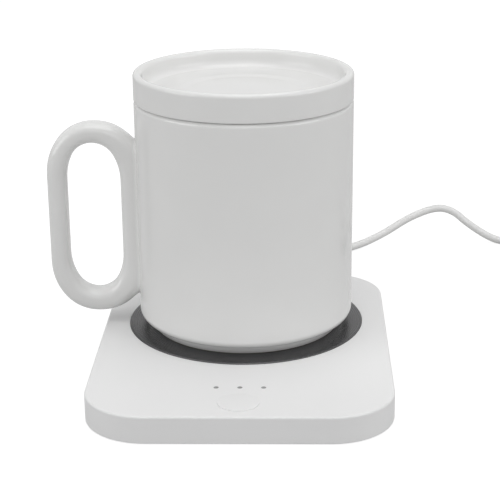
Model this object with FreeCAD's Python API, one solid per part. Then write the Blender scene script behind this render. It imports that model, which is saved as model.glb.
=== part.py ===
import FreeCAD, Part
import math
import os
from FreeCAD import Vector

# Electric mug warmer: a thin slab base with a round heating plate, one button, three
# indicator lights and a low voltage cord, carrying its ceramic mug with a lid.
# Millimetres. +Z is up, z = 0 is the table, the origin is the middle of the non-slip pad.
# -Y is the front with the button, +Y is the back where the cord leaves, -X is the handle's side.

# Base housing
BASE_WIDTH = 111.3
BASE_DEPTH = 144.2
BASE_HEIGHT = 10.3
CORNER_RADIUS = 23.35
TOP_EDGE_ROUND = 0.8
LOWER_EDGE_ROUND = 0.4
SIDE_WALL = 1.8
TOP_WALL = 1.6
BOTTOM_WALL = 1.5
HOUSING_GAP = 0.15
PAD_STAND = 0.5
PAD_THICKNESS = 1.0
PAD_MARGIN = 6.0
PAD_GAP = 0.2

# Heating plate and what lies under it
PLATE_FROM_BACK = 52.9
PLATE_RADIUS = 46.3
PLATE_THICKNESS = 1.8
PLATE_PROUD = 0.5
PLATE_EDGE_ROUND = 0.4
PLATE_GAP = 0.16
GASKET_THICKNESS = 0.3
LEDGE_WIDTH = 3.8
LEDGE_THICKNESS = 1.4
SEAT_WALL = 1.5
FILM_RADIUS = 38.0
FILM_THICKNESS = 0.3
FILM_TAB_LENGTH = 3.0
FILM_TAB_WIDTH = 8.0
INSULATION_GAP = 0.5
CLAMP_THICKNESS = 0.6
CLAMP_INSET = 0.3
CLAMP_BOSS_OFFSET = 2.2
CLAMP_BOSS_RADIUS = 3.2
CLAMP_BOSS_ANGLES = (30, 150, 210, 330)
LEAD_SLOT_WIDTH = 9.0
LEAD_SLOT_LENGTH = 5.0
SENSOR_HOLE_RADIUS = 3.0
SENSOR_RADIUS = 1.4
SENSOR_HEIGHT = 1.6
FUSE_RADIUS = 1.6
FUSE_LENGTH = 9.0
FUSE_FROM_PLATE = (12.0, -31.2)
FUSE_CLIP_WIDTH = 4.0
FUSE_CLIP_SHEET = 0.4
FUSE_CLIP_EAR = 2.5

# Front controls
LIGHT_PITCH = 8.55
LIGHT_FROM_FRONT = 24.6
LIGHT_RADIUS = 0.9
LIGHT_GAP = 0.05
LIGHT_FLANGE_RADIUS = 1.7
LIGHT_FLANGE_HEIGHT = 0.8
LED_LENGTH = 1.6
LED_WIDTH = 0.8
LED_HEIGHT = 0.6
BUTTON_FROM_FRONT = 11.9
BUTTON_RADIUS = 7.25
BUTTON_GAP = 0.25
BUTTON_EDGE_ROUND = 0.25
BUTTON_FLANGE_EXTRA = 1.1
BUTTON_FLANGE_HEIGHT = 0.8
BUTTON_STEM_RADIUS = 1.8
BUTTON_TRAVEL = 0.5
SWITCH_SIDE = 6.0
SWITCH_HEIGHT = 1.9
SWITCH_FLOOR = 0.5
PLUNGER_RADIUS = 1.5
PLUNGER_GAP = 0.05
PLUNGER_STICKS_OUT = 0.7
STOP_GAP = 0.1

# Circuit board, hung from the top cover
BOARD_SIDE_GAP = 2.5
BOARD_DEPTH = 32.0
BOARD_FROM_FRONT = 20.6
BOARD_THICKNESS = 1.0
BOARD_DROP = 4.0
BOARD_CORNER = 2.0
BOARD_POST_RADIUS = 2.2
BOARD_POST_INSET = 3.0

# What stands on the board: sizes along X, Y and Z, and distances from the board's left or right edge
CHIP_BODY = (5.0, 4.0, 1.5)
CHIP_LEG = (0.4, 6.0, 0.2)
CHIP_LEG_PITCH = 1.27
CHIP_STANDOFF = 0.1
CHIP_FROM_EDGE = 18.0
TRANSISTOR_BODY = (6.5, 6.0, 2.2)
TRANSISTOR_TAB = (5.2, 1.6, 0.5)
TRANSISTOR_LEG = (0.8, 3.0, 0.5)
TRANSISTOR_LEG_PITCH = 4.6
TRANSISTOR_FROM_EDGE = 17.0
TRANSISTOR_BACK = 2.0
METAL_LAP = 0.2
INDUCTOR = (4.0, 4.0, 2.0)
INDUCTOR_FROM_EDGE = 8.5
INDUCTOR_FORWARD = 3.0
SMALL_CHIP = (1.6, 0.8, 0.6)
SMALL_CHIP_PITCH = 3.2
SMALL_CHIP_FROM_EDGE = 7.0
SMALL_CHIP_ROW = 8.0

# Screws: shank radius, head radius, head height and length under the head
CASE_SCREW = (1.25, 2.2, 1.4, 6.0)
SMALL_SCREW = (0.98, 1.9, 1.1, 3.4)
HEATER_SCREW = (0.98, 1.9, 1.1, 2.7)
CLEARANCE = 0.15
THREAD_GAP = 0.02
DRIVE_RADIUS = 0.7
DRIVE_DEPTH = 0.6
BLIND_END = 0.2
CASE_BOSS_RADIUS = 3.0
CASE_BOSS_REACH = 13.0
CASE_BOSS_FOOT = 3.0

# Cord, its strain relief and the stop inside
CORD_DIAMETER = 3.5
CORD_EXIT_Z = 4.6
BOOT_LENGTH = 12.0
BOOT_RADIUS = 3.0
BOOT_TIP_RADIUS = 2.5
BOOT_NECK_RADIUS = 2.6
BOOT_FLANGE_RADIUS = 3.3
BOOT_FLANGE_LENGTH = 1.6
BOOT_GAP = 0.1
CORD_END_INSIDE = 12.0
CORD_STOP_WIDTH = 2.5
CORD_STOP_THICKNESS = 0.8
CORD_STOP_GAP = 0.2
CORD_STOP_HEAD = (4.0, 3.6)
WIRE_RADIUS = 0.6

# Wires inside: how far they lap over the board, and their bends as steps aside and forwards
WIRE_LAP = 3.0
WIRE_SPACING = 0.1
WIRE_DROP = 1.2
SENSOR_WIRE_SIDE = 12.0
SENSOR_WIRE_BENDS = ((1.0, 3.0), (4.0, 12.0))
HEATER_WIRE_SPACING = 2.5
HEATER_WIRE_BEND = 2.0
SUPPLY_WIRE_SIDE = 25.0
SUPPLY_WIRE_PITCH = 2.8
SUPPLY_WIRE_BENDS = ((0.0, 3.0), (1.5, 8.0), (9.0, 18.0))
SUPPLY_WIRE_FLOOR_GAP = 0.2

# The cord's route over the table, from the strain relief to the coil
CORD_BEND_SHARE = 0.45
CORD_ROUTE = [
    (0.0, 92.0, 4.6),
    (2.5, 101.5, 2.6),
    (9.0, 111.0, 1.75),
    (20.0, 119.0, 1.75),
    (34.0, 126.0, 1.75),
    (48.4, 133.3, 2.0),
    (62.3, 143.5, 5.2),
    (73.8, 152.5, 10.0),
    (87.7, 157.1, 14.3),
    (96.2, 155.5, 13.1),
    (103.1, 151.0, 7.8),
    (115.1, 144.1, 1.75),
    (124.0, 141.5, 1.75),
    (137.5, 134.9, 1.75),
]
CORD_LAST_RUN = 12.0

# Coil: turns of one unbroken tube, in two layers
COIL_CENTRE = (153.5, 98.0)
COIL_START_ANGLE = 67.0
COIL_MEAN_RADIUS = 19.25
COIL_PITCH = 4.1
COIL_LAYER_STEP = 4.1
COIL_TURNS_PER_LAYER = 4
COIL_REVERSAL_WIDTH = 0.6
TIE_WIDTH = 3.0
TIE_THICKNESS = 0.6
TIE_GAP = 0.1
TIE_ANGLE = 200.0

# Plug on the far end of the cord
PLUG_BODY = (24.0, 15.6, 7.4)
PLUG_ROUND = 1.6
PLUG_NOSE_LENGTH = 8.0
PLUG_NOSE_RADIUS = 2.7
SHELL_OUTSIDE = (11.75, 12.0, 4.5)
SHELL_SHEET = 0.3
SHELL_EDGE_ROUND = 0.5
SHELL_DEPTH_IN_BODY = 4.0
TONGUE_THICKNESS = 1.9
TONGUE_GAP = 0.25
PLUG_LEAD_STRAIGHT = 8.0
PLUG_LEAD_RUN = 13.0
PLUG_ASIDE = 3.0
PLUG_TURN = 0.45
PLUG_NOSE_TAPER = 0.4
LATCH_WINDOW_SIDE = 2.2
LATCH_WINDOW_REACH = 4.6
LATCH_WINDOW_OFFSET = 2.9
TONGUE_SETBACK = 0.5
CONTACT_WIDTH = 1.0
CONTACT_THICKNESS = 0.15
CONTACT_ROWS = ((-3.5, 1.3), (-1.0, 2.3), (1.0, 2.3), (3.5, 1.3))

# Mug
MUG_RADIUS = 42.0
MUG_WALL = 4.0
MUG_HEIGHT = 90.1
MUG_FLOOR = 5.0
MUG_CORNER_ROUND = 3.4
MUG_EDGE_SETBACK = 1.4
MUG_FOOT_HEIGHT = 3.8
MUG_FOOT_SETBACK = 1.4
MUG_FOOT_TAPER = 2.2
MUG_RIM_ROUND = 1.8
MUG_RIM_FLAT = 0.4
MUG_INSIDE_ROUND = 8.0
FOOT_RING_WIDTH = 5.0
FOOT_HOLLOW_DEPTH = 0.8
MUG_BODY_EDGE_RADIUS = MUG_RADIUS - MUG_EDGE_SETBACK
MUG_FOOT_TOP_RADIUS = MUG_BODY_EDGE_RADIUS - MUG_FOOT_SETBACK
MUG_FOOT_RADIUS = MUG_FOOT_TOP_RADIUS - MUG_FOOT_TAPER

# Handle: a closed ring beside the mug, reaches from the mug's axis
HANDLE_REACH = 77.0
HANDLE_GRIP_THICKNESS = 8.3
HANDLE_ROOT_THICKNESS = 6.2
HANDLE_TOP = 92.1
HANDLE_BOTTOM = 15.3
HANDLE_TOP_THICKNESS = 8.0
HANDLE_BOTTOM_THICKNESS = 8.8
HANDLE_WIDTH = 11.0
HANDLE_EDGE_ROUND = 3.8
HANDLE_ROUND_SHARE = 0.475

# Corners of the handle's outlines, along X and Z: the outer ones and the slopes into the mug
# as shares of the ring's width, those of the finger hole as shares of the hole's width
HANDLE_OUTER_CORNER = (0.276, 0.327)
HANDLE_SLOPE = (0.284, 0.2595)
HANDLE_HOLE_CORNER = (0.2537, 0.4)

# Lid
LID_RADIUS = MUG_RADIUS
LID_HEIGHT = 10.8
LID_RIM_ROUND = 1.5
LID_LOWER_ROUND = 0.5
LID_RIM_WIDTH = 3.4
LID_RIM_FLAT = 0.2
LID_FLOOR = 4.0
LID_FLOOR_ROUND = 3.0
LID_STEP_RADIUS = 22.0
LID_STEP_HEIGHT = 0.4
LID_PLUG_GAP = 0.5
LID_PLUG_WIDTH = 4.0
LID_PLUG_DEPTH = 5.0

# Heights worked out from the sizes above
COVER_BOTTOM = PAD_STAND
COVER_TOP = COVER_BOTTOM + BASE_HEIGHT
CEILING = COVER_TOP - TOP_WALL
FLOOR_TOP = COVER_BOTTOM + BOTTOM_WALL
PLATE_TOP = COVER_TOP + PLATE_PROUD
PLATE_BOTTOM = PLATE_TOP - PLATE_THICKNESS
LEDGE_TOP = PLATE_BOTTOM - GASKET_THICKNESS
LEDGE_BOTTOM = LEDGE_TOP - LEDGE_THICKNESS
CLAMP_BOTTOM = LEDGE_BOTTOM - CLAMP_THICKNESS
BOARD_TOP = CEILING - BOARD_DROP
BOARD_BOTTOM = BOARD_TOP - BOARD_THICKNESS
SWITCH_TOP = BOARD_TOP + SWITCH_HEIGHT
PLUNGER_TOP = SWITCH_TOP + PLUNGER_STICKS_OUT
CASE_JOINT_Z = FLOOR_TOP + CASE_BOSS_FOOT
CORD_RADIUS = CORD_DIAMETER / 2
COIL_BOTTOM = TIE_THICKNESS + TIE_GAP

# Radii and places worked out from the sizes above
BACK_FACE = BASE_DEPTH / 2
FRONT_FACE = -BASE_DEPTH / 2
PLATE_Y = BACK_FACE - PLATE_FROM_BACK
BUTTON_Y = FRONT_FACE + BUTTON_FROM_FRONT
LIGHT_Y = FRONT_FACE + LIGHT_FROM_FRONT
BOARD_Y = FRONT_FACE + BOARD_FROM_FRONT
CASE_BOSS_X = BASE_WIDTH / 2 - CORNER_RADIUS + CASE_BOSS_REACH / math.sqrt(2)
CASE_BOSS_Y = BASE_DEPTH / 2 - CORNER_RADIUS + CASE_BOSS_REACH / math.sqrt(2)
BOARD_WIDTH = 2 * (CASE_BOSS_X - CASE_BOSS_RADIUS - BOARD_SIDE_GAP)
CORD_START_Y = BACK_FACE + BOOT_LENGTH
POCKET_RADIUS = PLATE_RADIUS + PLATE_GAP
SEAT_RADIUS = POCKET_RADIUS + SEAT_WALL
LEDGE_RADIUS = PLATE_RADIUS - LEDGE_WIDTH
CLAMP_BOSS_CENTRE = SEAT_RADIUS + CLAMP_BOSS_OFFSET
PLATE_CENTRE = Vector(0, PLATE_Y, 0)
MUG_BOTTOM = PLATE_TOP
MUG_TOP = MUG_BOTTOM + MUG_HEIGHT
LID_TOP = MUG_TOP + LID_HEIGHT


def box(size, centre, bottom):
    """Upright box: size along X, Y and Z, centre in X and Y, height of its bottom."""
    corner = Vector(centre[0] - size[0] / 2, centre[1] - size[1] / 2, bottom)
    return Part.makeBox(size[0], size[1], size[2], corner)


def disc(radius, bottom, top, centre=(0, 0)):
    """Upright cylinder between two heights."""
    return Part.makeCylinder(radius, top - bottom, Vector(centre[0], centre[1], bottom))


def rounded_box(width, depth, corner, bottom, top, centre=(0, 0)):
    """Upright prism with a rounded rectangle for its plan."""
    plan = box((width, depth, top - bottom), centre, bottom)
    upright = [edge for edge in plan.Edges if is_upright(edge)]
    return plan.makeFillet(corner, upright)


def is_upright(edge):
    """True for a straight edge along Z."""
    ends = [vertex.Point for vertex in edge.Vertexes]
    return len(ends) == 2 and (ends[0] - ends[1]).cross(Vector(0, 0, 1)).Length < 1e-6


def edges_at_height(shape, height):
    """The edges of a shape that lie flat at one height."""
    return [edge for edge in shape.Edges
            if abs(edge.BoundBox.ZMin - height) < 1e-4 and abs(edge.BoundBox.ZMax - height) < 1e-4]


def fuse_all(shapes):
    """One solid from shapes that meet."""
    whole = shapes[0].multiFuse(shapes[1:])
    return whole.removeSplitter()


def revolve(points, centre):
    """Solid of revolution about an upright axis from a closed wire given by its edges."""
    face = Part.Face(Part.Wire(points))
    solid = face.revolve(Vector(0, 0, 0), Vector(0, 0, 1), 360)
    solid.translate(centre)
    return solid


def line(first, second):
    """Straight edge."""
    return Part.LineSegment(first, second).toShape()


def arc_from_apex(start, apex, end):
    """Arc tangent to the legs start-apex and apex-end, which are equally long."""
    middle = (start + end) / 2
    rise = apex - middle
    half_chord = (end - start).Length / 2
    half_turn = math.atan2(rise.Length, half_chord)
    sagitta = half_chord * math.tan(half_turn / 2)
    return Part.Arc(start, middle + rise * (sagitta / rise.Length), end).toShape()


def rounded_polygon(corners, cuts):
    """Closed outline: each corner is cut by a tangent arc that starts the given length before it."""
    count = len(corners)
    edges = []
    starts = []
    ends = []
    for i in range(count):
        before = (corners[i - 1] - corners[i]).normalize()
        after = (corners[(i + 1) % count] - corners[i]).normalize()
        starts.append(corners[i] + before * cuts[i])
        ends.append(corners[i] + after * cuts[i])
    for i in range(count):
        if cuts[i] > 0:
            edges.append(arc_from_apex(starts[i], corners[i], ends[i]))
        following = starts[(i + 1) % count]
        if (following - ends[i]).Length > 1e-6:
            edges.append(line(ends[i], following))
    return Part.Wire(edges)


def bent_path(points, share):
    """Straight runs joined by tangent arcs, each as large as the shorter of its two runs allows."""
    edges = []
    radii = []
    here = points[0]
    for i in range(1, len(points) - 1):
        into = points[i] - points[i - 1]
        out = points[i + 1] - points[i]
        cut = share * min(into.Length, out.Length)
        turn = into.getAngle(out)
        radii.append(cut / math.tan(turn / 2))
        start = points[i] - into.normalize() * cut
        end = points[i] + out.normalize() * cut
        edges.append(line(here, start))
        edges.append(arc_from_apex(start, points[i], end))
        here = end
    edges.append(line(here, points[-1]))
    return Part.Wire(edges), radii


def sweep_round(wire, radius):
    """Round tube along a smooth wire."""
    first = wire.OrderedEdges[0]
    start = first.valueAt(first.FirstParameter)
    along = first.tangentAt(first.FirstParameter)
    ring = Part.Wire(Part.Circle(start, along, radius).toShape())
    return wire.makePipeShell([ring], True, False)


def tube(name, points, radius, share=CORD_BEND_SHARE):
    """Tube along a bent path. It prints the bend radii and compares volume with section times length."""
    wire, radii = bent_path([Vector(*point) for point in points], share)
    solid = sweep_round(wire, radius)
    ratio = solid.Volume / (math.pi * radius * radius * wire.Length)
    listed = " ".join("%.1f" % value for value in radii)
    print("%s: length %.1f, volume ratio %.4f, radii %s" % (name, wire.Length, ratio, listed))
    return solid


def screw(kind, point):
    """Pan-head screw with its shank pointing up from the point under its head."""
    shank, head, head_height, length = kind
    body = Part.makeCylinder(shank, length, point)
    cap = Part.makeCylinder(head, head_height, point - Vector(0, 0, head_height))
    cap = cap.makeFillet(head_height / 3, edges_at_height(cap, point.z - head_height))
    drive = Part.makeCylinder(DRIVE_RADIUS, DRIVE_DEPTH, point - Vector(0, 0, head_height))
    whole = body.fuse(cap).cut(drive).removeSplitter()
    return whole


def four_corners(x, y, centre_y=0.0):
    """The four points of a rectangle about the Y axis."""
    return [(side * x, centre_y + end * y) for side in (-1, 1) for end in (-1, 1)]


def clamp_boss_places():
    """Where the heater clamp's screws go, round the plate."""
    places = []
    for angle in CLAMP_BOSS_ANGLES:
        turn = math.radians(angle)
        places.append((CLAMP_BOSS_CENTRE * math.cos(turn), PLATE_Y + CLAMP_BOSS_CENTRE * math.sin(turn)))
    return places


def case_boss_places():
    """Where the case screws go, on the diagonals of the four corners."""
    return four_corners(CASE_BOSS_X, CASE_BOSS_Y)


def board_post_places():
    """Where the board is screwed to the posts of the top cover."""
    return four_corners(BOARD_WIDTH / 2 - BOARD_POST_INSET, BOARD_DEPTH / 2 - BOARD_POST_INSET, BOARD_Y)


def light_places():
    """Where the three indicator lights stand."""
    return [(step * LIGHT_PITCH, LIGHT_Y) for step in (-1, 0, 1)]


def make_top_cover():
    """Shell with the plate's pocket, screw bosses, board posts and holes for button, lights and cord."""
    outside = rounded_box(BASE_WIDTH, BASE_DEPTH, CORNER_RADIUS, COVER_BOTTOM, COVER_TOP)
    outside = outside.makeFillet(TOP_EDGE_ROUND, edges_at_height(outside, COVER_TOP))
    outside = outside.makeFillet(LOWER_EDGE_ROUND, edges_at_height(outside, COVER_BOTTOM))
    inside = rounded_box(BASE_WIDTH - 2 * SIDE_WALL, BASE_DEPTH - 2 * SIDE_WALL,
                         CORNER_RADIUS - SIDE_WALL, COVER_BOTTOM - 1, CEILING)
    shell = outside.cut(inside)
    overlap = TOP_WALL / 2
    added = [disc(SEAT_RADIUS, LEDGE_BOTTOM, CEILING + overlap, (0, PLATE_Y))]
    for place in clamp_boss_places():
        added.append(disc(CLAMP_BOSS_RADIUS, LEDGE_BOTTOM, CEILING + overlap, place))
    for place in case_boss_places():
        added.append(disc(CASE_BOSS_RADIUS, CASE_JOINT_Z, CEILING + overlap, place))
    for place in board_post_places():
        added.append(disc(BOARD_POST_RADIUS, BOARD_TOP, CEILING + overlap, place))
    cover = fuse_all([shell] + added)
    cuts = [disc(POCKET_RADIUS, LEDGE_TOP, COVER_TOP + 1, (0, PLATE_Y)),
            disc(LEDGE_RADIUS, LEDGE_BOTTOM - 1, COVER_TOP, (0, PLATE_Y)),
            disc(BUTTON_RADIUS + BUTTON_GAP, CEILING - 1, COVER_TOP + 1, (0, BUTTON_Y))]
    for place in light_places():
        cuts.append(disc(LIGHT_RADIUS + LIGHT_GAP, CEILING - 1, COVER_TOP + 1, place))
    cuts += screw_holes(clamp_boss_places(), CLAMP_BOTTOM, HEATER_SCREW)
    cuts += screw_holes(case_boss_places(), case_screw_seat(), CASE_SCREW)
    cuts += screw_holes(board_post_places(), BOARD_BOTTOM, SMALL_SCREW)
    cuts.append(cord_notch(BOOT_NECK_RADIUS + BOOT_GAP, COVER_BOTTOM - 1))
    for cutter in cuts:
        cover = cover.cut(cutter)
    return cover.removeSplitter()


def screw_holes(places, seat, kind):
    """Blind pilot holes for screws whose heads bear at one height."""
    top = seat + kind[3] + BLIND_END
    return [disc(kind[0] + THREAD_GAP, seat, top, place) for place in places]


def case_screw_seat():
    """Height at which the heads of the case screws bear on the bottom cover."""
    return COVER_BOTTOM + (PAD_THICKNESS - PAD_STAND) + CASE_SCREW[2] + CLEARANCE


def cord_notch(half_width, bottom):
    """The slot in the back wall for the neck of the strain relief, open at the bottom."""
    length = 3 * SIDE_WALL
    start = Vector(0, BACK_FACE - 2 * SIDE_WALL, CORD_EXIT_Z)
    round_top = Part.makeCylinder(half_width, length, start, Vector(0, 1, 0))
    slot = Part.makeBox(2 * half_width, length, CORD_EXIT_Z - bottom, Vector(-half_width, start.y, bottom))
    return round_top.fuse(slot).removeSplitter()


def make_bottom_cover():
    """Floor plate inside the skirt, with screw towers, the tab under the cord and the pad's recess."""
    inset = SIDE_WALL + HOUSING_GAP
    floor = rounded_box(BASE_WIDTH - 2 * inset, BASE_DEPTH - 2 * inset, CORNER_RADIUS - inset,
                        COVER_BOTTOM, FLOOR_TOP)
    added = [disc(CASE_BOSS_RADIUS, COVER_BOTTOM, CASE_JOINT_Z, place) for place in case_boss_places()]
    added.append(make_cord_tab())
    cover = fuse_all([floor] + added)
    cuts = [pad_prism(COVER_BOTTOM - 1, COVER_BOTTOM + PAD_THICKNESS - PAD_STAND, 0.0),
            boot_shape(BOOT_GAP)]
    for place in case_boss_places():
        cuts.append(disc(CASE_SCREW[1] + CLEARANCE, COVER_BOTTOM - 1, case_screw_seat(), place))
        cuts.append(disc(CASE_SCREW[0] + CLEARANCE, COVER_BOTTOM - 1, CASE_JOINT_Z + 1, place))
    for cutter in cuts:
        cover = cover.cut(cutter)
    return cover.removeSplitter()


def make_cord_tab():
    """Tongue of the bottom cover that closes the cord slot from below."""
    half_width = BOOT_NECK_RADIUS + BOOT_GAP - HOUSING_GAP
    depth = SIDE_WALL + 2 * HOUSING_GAP
    return Part.makeBox(2 * half_width, depth, CORD_EXIT_Z - COVER_BOTTOM,
                        Vector(-half_width, BACK_FACE - depth, COVER_BOTTOM))


def pad_prism(bottom, top, gap):
    """Prism with the plan of the non-slip pad's recess, less a gap all round."""
    inset = PAD_MARGIN + gap
    return rounded_box(BASE_WIDTH - 2 * inset, BASE_DEPTH - 2 * inset, CORNER_RADIUS - inset, bottom, top)


def make_non_slip_pad():
    """One soft sheet glued into the bottom cover."""
    return pad_prism(0.0, PAD_THICKNESS, PAD_GAP)


def make_heating_plate():
    """Round metal plate that stands a little proud of the cover."""
    plate = disc(PLATE_RADIUS, PLATE_BOTTOM, PLATE_TOP, (0, PLATE_Y))
    return plate.makeFillet(PLATE_EDGE_ROUND, edges_at_height(plate, PLATE_TOP))


def make_plate_gasket():
    """Flat silicone ring between the plate and its ledge."""
    ring = disc(PLATE_RADIUS, LEDGE_TOP, PLATE_BOTTOM, (0, PLATE_Y))
    return ring.cut(disc(LEDGE_RADIUS, LEDGE_TOP - 1, PLATE_BOTTOM + 1, (0, PLATE_Y)))


def make_heater_film():
    """Etched heating film under the plate, with its terminal tab towards the front."""
    film = disc(FILM_RADIUS, PLATE_BOTTOM - FILM_THICKNESS, PLATE_BOTTOM, (0, PLATE_Y))
    reach = FILM_TAB_LENGTH + 1
    tab = box((FILM_TAB_WIDTH, reach, FILM_THICKNESS),
              (0, PLATE_Y - FILM_RADIUS - FILM_TAB_LENGTH + reach / 2), PLATE_BOTTOM - FILM_THICKNESS)
    return fuse_all([film, tab])


def lead_slot(bottom, top):
    """Opening under the film's tab, where the leads come down."""
    return box((LEAD_SLOT_WIDTH, LEAD_SLOT_LENGTH, top - bottom),
               (0, PLATE_Y - FILM_RADIUS - FILM_TAB_LENGTH / 2), bottom)


def make_insulation_pad():
    """Felt disc between the film and the clamp, with holes for the sensor and the leads."""
    top = PLATE_BOTTOM - FILM_THICKNESS
    pad = disc(LEDGE_RADIUS - INSULATION_GAP, LEDGE_BOTTOM, top, (0, PLATE_Y))
    pad = pad.cut(disc(SENSOR_RADIUS + CLEARANCE, LEDGE_BOTTOM - 1, top + 1, (0, PLATE_Y)))
    return pad.cut(lead_slot(LEDGE_BOTTOM - 1, top + 1))


def make_clamp_plate():
    """Thin steel plate that presses the stack up, with an ear at each boss."""
    parts = [disc(SEAT_RADIUS - CLAMP_INSET, CLAMP_BOTTOM, LEDGE_BOTTOM, (0, PLATE_Y))]
    for place in clamp_boss_places():
        parts.append(disc(CLAMP_BOSS_RADIUS, CLAMP_BOTTOM, LEDGE_BOTTOM, place))
    plate = fuse_all(parts)
    for place in clamp_boss_places():
        plate = plate.cut(disc(HEATER_SCREW[0] + CLEARANCE, CLAMP_BOTTOM - 1, LEDGE_BOTTOM + 1, place))
    plate = plate.cut(disc(SENSOR_HOLE_RADIUS, CLAMP_BOTTOM - 1, LEDGE_BOTTOM + 1, (0, PLATE_Y)))
    return plate.cut(lead_slot(CLAMP_BOTTOM - 1, LEDGE_BOTTOM + 1))


def make_heater_screws():
    """Screws that hold the clamp plate."""
    return Part.makeCompound([screw(HEATER_SCREW, Vector(x, y, CLAMP_BOTTOM))
                              for x, y in clamp_boss_places()])


def make_thermistor():
    """Glass bead that touches the heating film."""
    top = PLATE_BOTTOM - FILM_THICKNESS
    bead = disc(SENSOR_RADIUS, top - SENSOR_HEIGHT, top, (0, PLATE_Y))
    return bead.makeFillet(SENSOR_RADIUS / 3, edges_at_height(bead, top - SENSOR_HEIGHT))


def make_thermistor_leads():
    """Two wires from the bead to the board."""
    top = PLATE_BOTTOM - FILM_THICKNESS - SENSOR_HEIGHT
    low = BOARD_TOP + WIRE_RADIUS
    near, far = SENSOR_WIRE_BENDS
    leads = []
    for side in (-1, 1):
        x = side * (WIRE_RADIUS + WIRE_SPACING / 2)
        end = -SENSOR_WIRE_SIDE + 4 * side * WIRE_RADIUS
        route = [(x, PLATE_Y, top), (x, PLATE_Y, top - WIRE_DROP), (x - near[0], PLATE_Y - near[1], low),
                 (x - far[0], PLATE_Y - far[1], low), (end + near[0], board_back() + far[1], low),
                 (end, board_back() - WIRE_LAP, low)]
        leads.append(tube("thermistor lead", route, WIRE_RADIUS))
    return Part.makeCompound(leads)


def board_back():
    """Y of the board's rear edge."""
    return BOARD_Y + BOARD_DEPTH / 2


def fuse_place():
    """Centre of the thermal fuse, which lies against the underside of the clamp plate."""
    aside, forward = FUSE_FROM_PLATE
    return Vector(aside, PLATE_Y + forward, CLAMP_BOTTOM - FUSE_RADIUS)


def make_thermal_fuse():
    """Small can that cuts the heater off if the plate runs too hot."""
    middle = fuse_place()
    start = middle - Vector(FUSE_LENGTH / 2, 0, 0)
    can = Part.makeCylinder(FUSE_RADIUS, FUSE_LENGTH, start, Vector(1, 0, 0))
    ends = [edge for edge in can.Edges if edge.BoundBox.XLength < 1e-4]
    return can.makeFillet(FUSE_RADIUS / 4, ends)


def make_fuse_clip():
    """Strap that holds the fuse to the clamp plate, with an ear on each side."""
    middle = fuse_place()
    outer = FUSE_RADIUS + FUSE_CLIP_SHEET
    start = middle - Vector(FUSE_CLIP_WIDTH / 2, 0, 0)
    strap = Part.makeCylinder(outer, FUSE_CLIP_WIDTH, start, Vector(1, 0, 0))
    cheeks = box((FUSE_CLIP_WIDTH, 2 * outer, FUSE_RADIUS), (middle.x, middle.y), middle.z)
    ears = box((FUSE_CLIP_WIDTH, 2 * (outer + FUSE_CLIP_EAR), FUSE_CLIP_SHEET),
               (middle.x, middle.y), CLAMP_BOTTOM - FUSE_CLIP_SHEET)
    clip = fuse_all([strap, cheeks, ears])
    hole = Part.makeCylinder(FUSE_RADIUS, FUSE_CLIP_WIDTH + 2, start - Vector(1, 0, 0), Vector(1, 0, 0))
    mouth = box((FUSE_CLIP_WIDTH + 2, 2 * FUSE_RADIUS, FUSE_RADIUS + 1), (middle.x, middle.y), middle.z)
    above = box((FUSE_CLIP_WIDTH + 2, 4 * outer, 2 * outer), (middle.x, middle.y), CLAMP_BOTTOM)
    return clip.cut(hole).cut(mouth).cut(above).removeSplitter()


def make_heater_leads():
    """Wires from the film's tab to the board, one of them through the thermal fuse."""
    tab_y = PLATE_Y - FILM_RADIUS - FILM_TAB_LENGTH / 2
    top = PLATE_BOTTOM - FILM_THICKNESS
    low = BOARD_TOP + WIRE_RADIUS
    end_y = board_back() - WIRE_LAP
    fuse = fuse_place()
    left = fuse.x - FUSE_LENGTH / 2
    right = fuse.x + FUSE_LENGTH / 2
    x = HEATER_WIRE_SPACING
    bend = HEATER_WIRE_BEND
    direct = [(-x, tab_y, top), (-x, tab_y, top - WIRE_DROP), (-x - bend / 20, tab_y - bend, low + bend / 5),
              (-x - bend / 4, tab_y - 3 * bend, low), (-x - bend * 3 / 4, end_y, low)]
    to_fuse = [(x, tab_y, top), (x, tab_y, top - WIRE_DROP - bend / 5),
               (x + bend / 20, tab_y + bend, fuse.z), (x + bend * 3 / 4, fuse.y, fuse.z),
               (left, fuse.y, fuse.z)]
    from_fuse = [(right, fuse.y, fuse.z), (right + bend * 5 / 4, fuse.y, fuse.z),
                 (right + 2 * bend, fuse.y - bend * 5 / 2, low), (right + bend * 3 / 2, end_y, low)]
    routes = (direct, to_fuse, from_fuse)
    return Part.makeCompound([tube("heater lead", route, WIRE_RADIUS) for route in routes])


def make_circuit_board():
    """Control board with a hole at each post."""
    board = rounded_box(BOARD_WIDTH, BOARD_DEPTH, BOARD_CORNER, BOARD_BOTTOM, BOARD_TOP, (0, BOARD_Y))
    for place in board_post_places():
        board = board.cut(disc(SMALL_SCREW[0] + CLEARANCE, BOARD_BOTTOM - 1, BOARD_TOP + 1, place))
    return board


def make_board_screws():
    """Screws that hang the board from the top cover."""
    return Part.makeCompound([screw(SMALL_SCREW, Vector(x, y, BOARD_BOTTOM))
                              for x, y in board_post_places()])


def make_microcontroller():
    """Control chip with its two rows of legs."""
    x = -BOARD_WIDTH / 2 + CHIP_FROM_EDGE
    body = box(CHIP_BODY, (x, BOARD_Y), BOARD_TOP + CHIP_STANDOFF)
    legs = [box(CHIP_LEG, (x + step * CHIP_LEG_PITCH, BOARD_Y), BOARD_TOP)
            for step in (-1.5, -0.5, 0.5, 1.5)]
    return fuse_all([body] + legs)


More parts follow.
